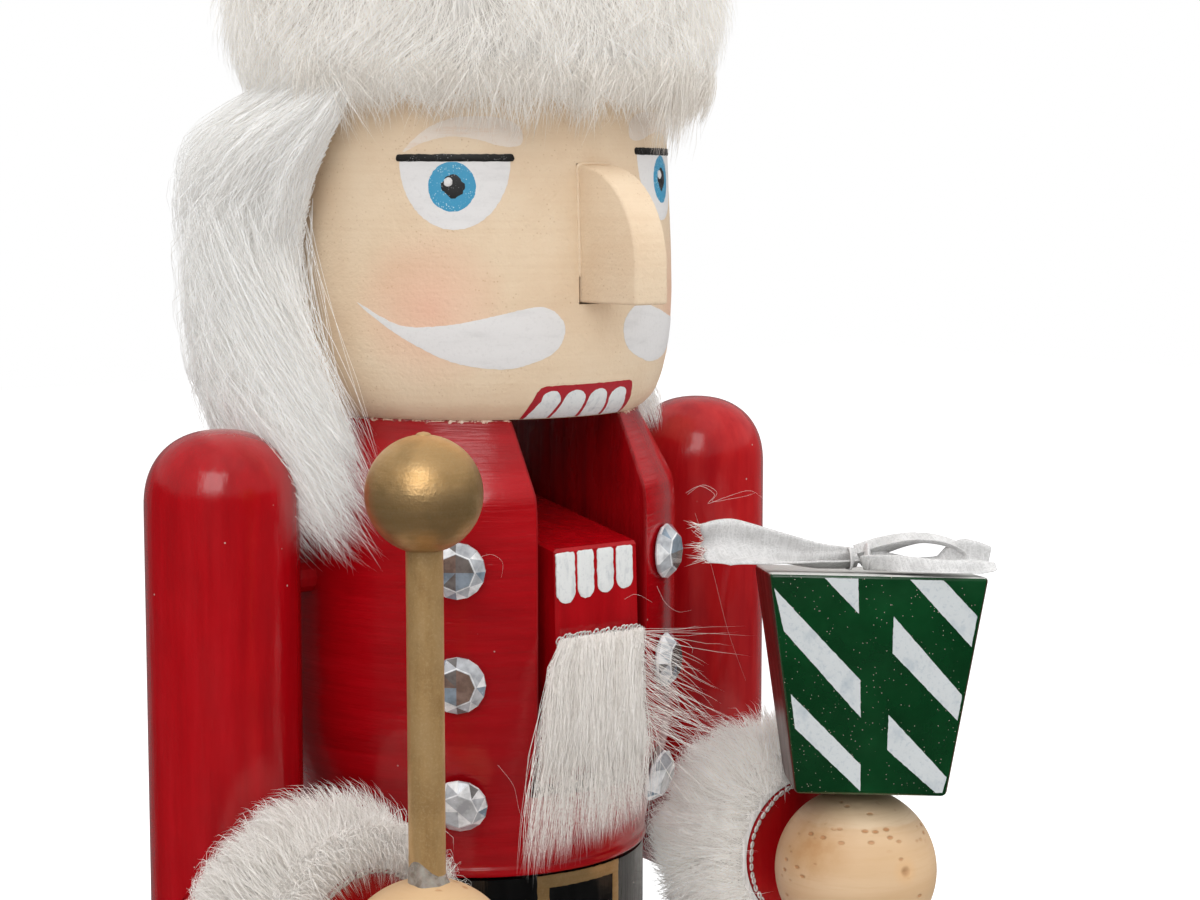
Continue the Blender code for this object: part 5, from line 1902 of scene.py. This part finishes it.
def make_lock(side, label):
    """The longer strands at the lower front corner: between sleeve and coat, a few strayed over the coat."""
    count = 3000 if side < 0 else 420
    root = RNG.uniform(0, 1, count) ** 1.3 * 40 * MM
    angle = np.radians(RNG.uniform(72, 108, count))
    tip_height = (-8 - 23 * RNG.uniform(0, 1, count) ** 1.3) * MM
    tip_angle = np.radians(RNG.uniform(57, 88, count))
    tip_radius = RNG.uniform(39.2, 46.0, count) * MM
    if side > 0:
        angle = np.radians(RNG.uniform(99, 120, count))
        tip_height = RNG.uniform(-9, -1, count) * MM
        tip_angle = np.radians(RNG.uniform(89, 112, count))
        tip_radius = RNG.uniform(39.2, 43.0, count) * MM
    angle = np.maximum(angle, hair_front(root, side) + RNG.uniform(0, 0.12, count))
    outer = hair_envelope(angle, root, side)
    start = (outer - RNG.uniform(0.3, 7, count) * MM)[:, None]
    stray_share = 0.08
    stray = RNG.uniform(0, 1, count) < stray_share
    if side < 0:
        tip_angle = np.where(stray, np.radians(RNG.uniform(48, 66, count)), tip_angle)
        tip_height = np.where(stray, RNG.uniform(-33, -12, count) * MM, tip_height)
        tip_radius = np.where(stray, RNG.uniform(38.2, 40.5, count) * MM, tip_radius)
    tip_height = np.minimum(tip_height + root * 0.35, root - 8 * MM)
    t = np.linspace(0, 1, 7)[None, :]
    height = root[:, None] + (tip_height - root)[:, None] * t
    bend = RNG.normal(0, 0.035, (count, 1)) * np.sin(t * math.pi)
    turned = angle[:, None] + (tip_angle - angle)[:, None] * t**1.2 + bend
    radial = np.maximum(start + (tip_radius[:, None] - start) * t**1.3, 38.0 * MM)
    paths = hair_points(turned, height, radial, side)
    paths = clumped(paths, 3.0 * MM, 0.5, 71 + side)
    paths += RNG.normal(0, 0.10 * MM, paths.shape) * t[..., None]
    tubes(f"hair_lock_{label}", paths, 0.055 * MM * RNG.uniform(0.6, 1.2, count), HAIR_FIBRES)


def make_cuff(side, seed):
    """Fur cuff over the sleeve's end, with its knitted edge showing beside the hand."""
    lay = arm_frame(side)[0] @ Matrix.Rotation(math.radians(90), 4, "X")
    arm_radius = 0.01345
    start, end = 13.0 * MM, 37.6 * MM
    skin_half, pile_half = (2.8 * MM, 11.9 * MM), (12.0 * MM, 13.4 * MM)
    section = half_round(arm_radius + 0.3 * MM, (start + end) / 2, skin_half, pile_half)
    skin = ring_skin(f"cuff_skin_{side}", lay, section, 72, arm_radius + 0.2 * MM)
    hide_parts("cuff_" + side)
    clear_of = outside_box if side == "left" else None
    # The far cuff's fur takes a stronger glow and a whiter tint: painted light.
    fibres = CUFF_FIBRES if side == "right" else LIT_FAR_CUFF_FIBRES
    for part in range(2):
        begin = math.pi * part
        ring_fur(
            f"cuff_fur_{side}_{part + 1}", lay, 8200, section, -46.0, 13.5 * MM, (1.46, -1.2),
            begin, begin + math.pi, 0.062 * MM, seed + part, stand=1.2, sway=0.26, wild=0.16, guard=0.26,
            clump=(2.1 * MM, 0.62), clear_of=clear_of, fibres=fibres,
        )
    cuff_fringe(side, lay, end, clear_of, fibres)
    knit_edge(f"cuff_edge_{side}", lay, arm_radius - 0.1 * MM, end + 0.75 * MM)


def outside_box(paths, margin=0.2 * MM):
    """Which strands stay clear of the gift box by a margin, and of the ribbon's tail beside it."""
    back = np.array(box_frame().inverted())
    local = paths.reshape(-1, 3) @ back[:3, :3].T + back[:3, 3]
    half = box_half(np.clip(local[:, 2] / BOX_TALL, 0, 1)) + margin
    within = (np.abs(local[:, 0]) < half) & (np.abs(local[:, 1]) < half) & (local[:, 2] > -0.3 * MM)
    x, y, z = (local / MM - (0, 0, BOX_TALL_MM)).T
    tail = (x > -32) & (x < 0) & (np.abs(y + 12.5) < 5.0) & (np.abs(z - 4) < 4.8)
    return ~(within | tail).reshape(paths.shape[:2]).any(1)


def clear_when_shut(paths):
    """Which strands of the beard stay clear of the gift with the jaw open, and just brush it once shut."""
    shut = Matrix.Translation(JAW_PIVOT) @ Matrix.Rotation(-JAW_OPEN, 4, "X") @ Matrix.Translation(-JAW_PIVOT)
    shut = np.array(shut)
    raised = paths @ shut[:3, :3].T + shut[:3, 3]
    deepest_brush = 3.5 * MM
    return outside_box(paths) & outside_box(raised, -deepest_brush)


def cuff_fringe(side, lay, end, clear_of, fibres):
    """Strands at the cuff's front that lean over the sleeve's end, thinner where the knitted edge shows."""
    count = 2600 if side == "left" else 7400
    theta = RNG.uniform(0, 2 * math.pi, count)
    if side == "left":
        from_bare = (theta - math.radians(195) + math.pi) % (2 * math.pi) - math.pi
        shows = np.abs(from_bare) < math.radians(75)
        theta = theta[~shows | (RNG.uniform(0, 1, count) < 0.05)]
        count = len(theta)
    t = np.linspace(0, 1, 5)[None, :]
    root = RNG.uniform(13.8, 20.0, count)[:, None] * MM
    rise = RNG.uniform(0.5, 4.5, count)[:, None] * MM
    inward = RNG.uniform(-1.0, 4.0 if side == "left" else 9.5, count)[:, None] * MM
    ahead = RNG.uniform(1.0, 5.5, count)[:, None] * MM
    radial = root + rise * np.sin(t * 2.4) - inward * t**2
    axial = end - RNG.uniform(0.0, 4.0, count)[:, None] * MM + ahead * (1.6 * t - 0.4 * t**2)
    angle = theta[:, None] + RNG.normal(0, 0.20, count)[:, None] * t
    paths = np.stack([radial * np.cos(angle), radial * np.sin(angle), axial], 2)
    paths = placed_paths(lay, paths)
    centre = np.array(middle("hand_" + side))
    just_off_hand = 15.1 * MM
    clear = (np.linalg.norm(paths - centre, axis=2) > just_off_hand).all(1)
    if clear_of:
        clear &= clear_of(paths)
    paths = clumped(paths[clear], 1.6 * MM, 0.5, 66)
    tubes("cuff_fringe_" + side, paths, 0.052 * MM * RNG.uniform(0.6, 1.3, len(paths)), fibres)


def ring_faces(base, steps, corners):
    """Faces of a closed tube of so many steps round its ring, from its first point's number."""
    faces = []
    for step in range(steps):
        here, beyond = base + step * corners, base + (step + 1) % steps * corners
        for corner in range(corners):
            after = (corner + 1) % corners
            faces.append((here + corner, here + after, beyond + after, beyond + corner))
    return faces


def knit_edge(name, place, radius, height):
    """A row of small knitted loops round an edge."""
    loops = 58
    big, small = 0.52 * MM, 0.17 * MM
    up = np.array((0, 0, 1.0))
    verts, faces = [], []
    for loop in range(loops):
        theta = 2 * math.pi * (loop + RNG.uniform(-0.15, 0.15)) / loops
        out = np.array((math.cos(theta), math.sin(theta), 0))
        side = np.array((-math.sin(theta), math.cos(theta), 0))
        leaning = up * 0.55 + out * 0.85
        lift = np.cross(side, leaning)
        centre = out * radius + up * (height + RNG.uniform(-0.15, 0.2) * MM)
        faces += ring_faces(len(verts), 10, 5)
        for step in range(10):
            angle = 2 * math.pi * step / 10
            spine = side * math.cos(angle) * big * 1.1 + leaning * math.sin(angle) * big
            ahead = spine / np.linalg.norm(spine)
            for corner in range(5):
                turn = 2 * math.pi * corner / 5
                verts.append(centre + spine + ahead * small * math.cos(turn) + lift * small * math.sin(turn))
    piece(name, placed(place, verts), faces, [KNIT], sharp=80)


def make_boot_fur(side, seed):
    """Short fur round the top of a boot."""
    centre = middle("boot_fur_" + side)
    low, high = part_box("boot_fur_" + side)
    place = Matrix.Translation((centre.x, centre.y, 0))
    half = (high.z - low.z) / 2
    section = half_round(0.0171, centre.z, (1.6 * MM, half * 0.92), (4.7 * MM, half))
    skin = ring_skin(f"boot_fur_skin_{side}", place, section, 56, 0.0169)
    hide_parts("boot_fur_" + side)
    ring_fur(
        f"boot_fur_pile_{side}", place, 4200, section, -80.0, 9 * MM, (1.45, -1.3),
        radius=0.07 * MM, seed=seed,
    )


def make_beard():
    """Strip of fur on the jaw: full above, thin locks below, some hairs blown to the figure's left."""
    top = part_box("beard")[1].z
    rings = []
    sections = (
        (0.0, 8.8, -37.2, -38.0, -0.9),
        (-2, 9.3, -37.3, -39.2, -1.4),
        (-9, 9.4, -37.8, -39.6, -2.2),
        (-14, 9.0, -38.2, -39.6, -2.4),
        (-20, 7.0, -38.4, -39.4, -2.6),
    )
    for height, half, back, front, shift in sections:
        ring = []
        for step in range(28):
            angle = 2 * math.pi * step / 28
            across = math.copysign(abs(math.cos(angle)) ** 0.5, math.cos(angle))
            deep = math.copysign(abs(math.sin(angle)) ** 0.7, math.sin(angle))
            x, y = shift + half * across, (front + back) / 2 + (back - front) / 2 * deep
            ring.append((x * MM, y * MM, top + height * MM))
        rings.append(ring)
    verts, faces = closed_loft(rings)
    skin = piece("beard_skin", verts, faces, [GROUND], "jaw", sharp=80)
    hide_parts("beard")
    for part in range(2):
        beard_strands(f"beard_fur_{part + 1}", top, 4900)
    knit_strip(top)


def beard_strands(name, top, count):
    """Strands in mm: x across, depth below the strip. They splay at both edges and thin out into locks.

    tall strands form the locks, and blown ones stand off to the figure's left.
    """
    t = np.linspace(0, 1, 8)[None, :]
    x = RNG.uniform(-9.4, 9.2, count)
    left = np.clip((-x - 3.5) / 5, 0, 1)[:, None]
    right = np.clip((x - 4) / 5, 0, 1)[:, None]
    drop = -0.7 + 18.4 * RNG.uniform(0, 1, count) ** 1.2
    lock = sum(np.exp(-(((x - lock_x) / 0.9) ** 2)) for lock_x in (-8.7, -5.9, -2.2, 0.6, 4.9, 8.0))
    kind = RNG.uniform(0, 1, count)
    tall = kind < 0.04 + 0.16 * lock
    longest = 38.5 - 0.36 * x - 9.5 * RNG.uniform(0, 1, count) ** 1.6
    bottom = np.where(tall, longest, RNG.uniform(13.5, 24.5, count) + np.where(kind > 0.91, 5.0, 0.0))
    length = np.maximum(bottom - drop, 5)
    blown = (RNG.uniform(0, 1, count) < 0.17 * right[:, 0]) & (drop < 15)
    reach = 6 + 20 * RNG.uniform(0, 1, count)
    length = np.where(blown, reach * np.clip(RNG.normal(0.60, 0.26, count), -0.02, 1.4), length)
    depth = drop[:, None] + length[:, None] * t
    splay = -left * (2.3 * np.clip(depth / 4, 0, 1) + 4.9 * np.clip((depth - 5) / 34, 0, 1) ** 1.3)
    splay = splay + right * (3.2 * np.clip((depth - 12) / 24, 0, 1) - 1.7 * np.clip(depth / 5, 0, 1))
    fan = np.where(blown, reach, np.where(tall, 2.6, 1.3) * RNG.normal(0, 1, count))[:, None]
    bend = (np.where(tall, 1.7, 0.8) * RNG.normal(0, 1, count))[:, None] * np.sin(t * math.pi)
    bend = bend + RNG.normal(0, 0.3, count)[:, None] * np.sin(t * 7)
    bend = bend + np.where(blown, RNG.normal(0, 1.6, count), 0)[:, None] * np.sin(t * math.pi)
    layer = RNG.uniform(0.05, 1.0, count)[:, None]
    swell = layer * 3.6 * np.sin(np.minimum(t * 2.0, 1.9))
    across = x[:, None] - 0.9 + np.where(blown[:, None], 0.0, splay - 0.8 * swell) + fan * t**1.25 + bend
    out = -38.8 - layer - swell - np.where(blown, 1.5, 0.0)[:, None] * t
    paths = np.stack([across * MM, out * MM, top - depth * MM], 2)
    full = ~tall & ~blown
    paths[full] = clumped(paths[full], 1.5 * MM, 0.5, 91)
    paths[tall & ~blown] = clumped(paths[tall & ~blown], 2.7 * MM, 0.45, 92)
    paths += RNG.normal(0, 0.08 * MM, paths.shape) * t[..., None]
    paths = paths[clear_when_shut(paths)]
    tubes(name, paths, 0.046 * MM * RNG.uniform(0.55, 1.25, len(paths)), body="jaw")


def knit_strip(top):
    """The cut upper edge of the beard's backing: two uneven rows of small loops."""
    verts, faces = [], []
    for row in range(2):
        for column in range(30):
            wander = RNG.uniform(-1, 1, 2)
            x = -9.8 + 17.8 * column / 29 + 0.22 * wander[0]
            height = 0.35 - 0.75 * row + 0.30 * wander[1]
            centre = np.array((x, -37.9 - 0.3 * row, 0)) * MM + np.array((0, 0, top + height * MM))
            size = RNG.uniform(0.8, 1.25)
            faces += ring_faces(len(verts), 9, 5)
            for step in range(9):
                angle = 2 * math.pi * step / 9
                spine = np.array((math.cos(angle) * 0.42, -0.25 * math.sin(angle), math.sin(angle) * 0.55))
                spine = spine * size * MM
                for corner in range(5):
                    turn = 2 * math.pi * corner / 5
                    thick = np.array((0, -1, 0.2)) * 0.15 * MM * math.sin(turn)
                    verts.append(centre + spine * (1 + 0.28 * math.cos(turn)) + thick)
    piece("beard_edge", verts, faces, [KNIT], "jaw", sharp=80)


# ---------------------------------------------------------------- jaw


def paint_lower_teeth():
    """Four long teeth on the front of the jaw, square at the top and round at the bottom."""
    turn = Matrix.Translation(JAW_PIVOT) @ Matrix.Rotation(JAW_OPEN, 4, "X")
    top = turn @ Vector((0, -0.0569, 0.0292))
    chin = turn @ Vector((0, -0.0720, -0.0077))
    down = (chin - top).normalized()
    outward = Vector((0, down.z, -down.y))

    def surface(across, depth, lift):
        points = np.array(top)[None] + depth[:, None] * np.array(down) + lift[:, None] * np.array(outward)
        points[:, 0] = across
        return points

    teeth = ((-8.7, -4.6, 9.6), (-4.0, -0.4, 9.0), (0.4, 4.0, 8.5), (4.7, 8.4, 8.2))
    for index, (left, right, low) in enumerate(teeth):
        half = (right - left) / 2
        root = oval(((left + right) / 2, low - half), (half, half), 12, 0, 180)
        outline = [(left, 0.9), (left + 0.4, 0.55), (right - 0.4, 0.55), (right, 0.9), *root]
        outline = [(x * MM, depth * MM) for x, depth in outline]
        painted(f"lower_tooth_{index + 1}", outline, surface, TOOTH, "jaw", 0.00022, 0.0007, 0.00009)


def make_stray_hairs():
    """Loose fibres caught on the lacquer: each line runs through points in mm, heights from the seat."""
    lines = [
        [
            (43.2, -9.6, -18.6), (45.2, -11.6, -17.2), (47.5, -13.2, -18.9), (46.4, -12.6, -20.6),
            (49.8, -14.2, -19.4), (55.5, -14.6, -18.6), (60.4, -13.6, -21.0),
        ],
        [
            (43.4, -9.9, -18.9), (45.6, -11.8, -17.0), (47.9, -13.4, -18.4), (47.2, -13.0, -20.2),
            (50.2, -14.3, -19.9), (54.9, -14.6, -19.5), (57.4, -14.3, -19.0),
        ],
        [(44.6, -10.8, -22.5), (47.0, -13.0, -33.0), (50.0, -14.4, -45.5), (54.8, -14.6, -56.5)],
        [(-19.8, -33.4, -58.8), (-17.4, -34.6, -62.5), (-16.4, -34.9, -66.8), (-14.8, -35.6, -72.2)],
        [(-22.8, -30.8, -23.0), (-20.6, -32.6, -22.0), (-18.8, -33.6, -23.4), (-19.0, -33.5, -26.2)],
        [(4.2, -38.6, -31.6), (6.2, -38.8, -30.9), (8.4, -38.6, -31.6), (11.0, -38.2, -33.0)],
        [(13.5, -36.4, -30.5), (15.9, -35.9, -33.8), (19.8, -34.9, -36.0), (24.5, -33.3, -36.4)],
    ]
    steps, kept = 12, 36
    paths = []
    for line in lines:
        every = max(1, (len(line) - 1) * steps // kept)
        paths.append(curve_through(line, steps)[::every][: kept + 1])
    paths = np.array(paths) * MM + np.array((0, 0, SEAT))
    thickness = np.array([0.034, 0.03, 0.026, 0.022, 0.022, 0.022, 0.024]) * MM
    tubes("stray_hairs", paths, thickness)


# ---------------------------------------------------------------- the rest of the CAD nodes


def dress_kept_nodes():
    """Materials of the nodes whose CAD shape is shown as it is."""
    kinds = {"jaw_lever": RED, "shoulder_dowel": RED, "dowel": WOOD, "jaw_pin": WOOD, "base_screw": ZINC}
    for name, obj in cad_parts.items():
        material = next((kinds[kind] for kind in kinds if kind in name), None)
        if material:
            obj.data.materials.clear()
            obj.data.materials.append(material)


def main():
    """Builds everything, in an order that the random draws depend on."""
    bpy.context.scene.view_settings.view_transform = "Standard"
    make_camera()
    make_lights()
    make_world()
    make_floor()
    make_head()
    make_nose()
    make_nose_bead()
    paint_eye("right", -1, -41.4, 45.6)
    paint_eye("left", 1, 33.4, 46.9)
    paint_moustache("right", -1)
    paint_moustache("left", 1)
    paint_upper_teeth()
    make_torso()
    make_neck_seam()
    make_hips()
    make_legs()
    make_base()
    for side in ("right", "left"):
        make_arm(side)
        make_hand(side)
        make_cuff(side, 51 if side == "right" else 61)
        make_boot_fur(side, 81 if side == "right" else 83)
    make_sceptre()
    make_gems()
    make_gift_box()
    make_bow()
    make_hat()
    make_hair()
    make_beard()
    paint_lower_teeth()
    make_stray_hairs()
    dress_kept_nodes()


main()
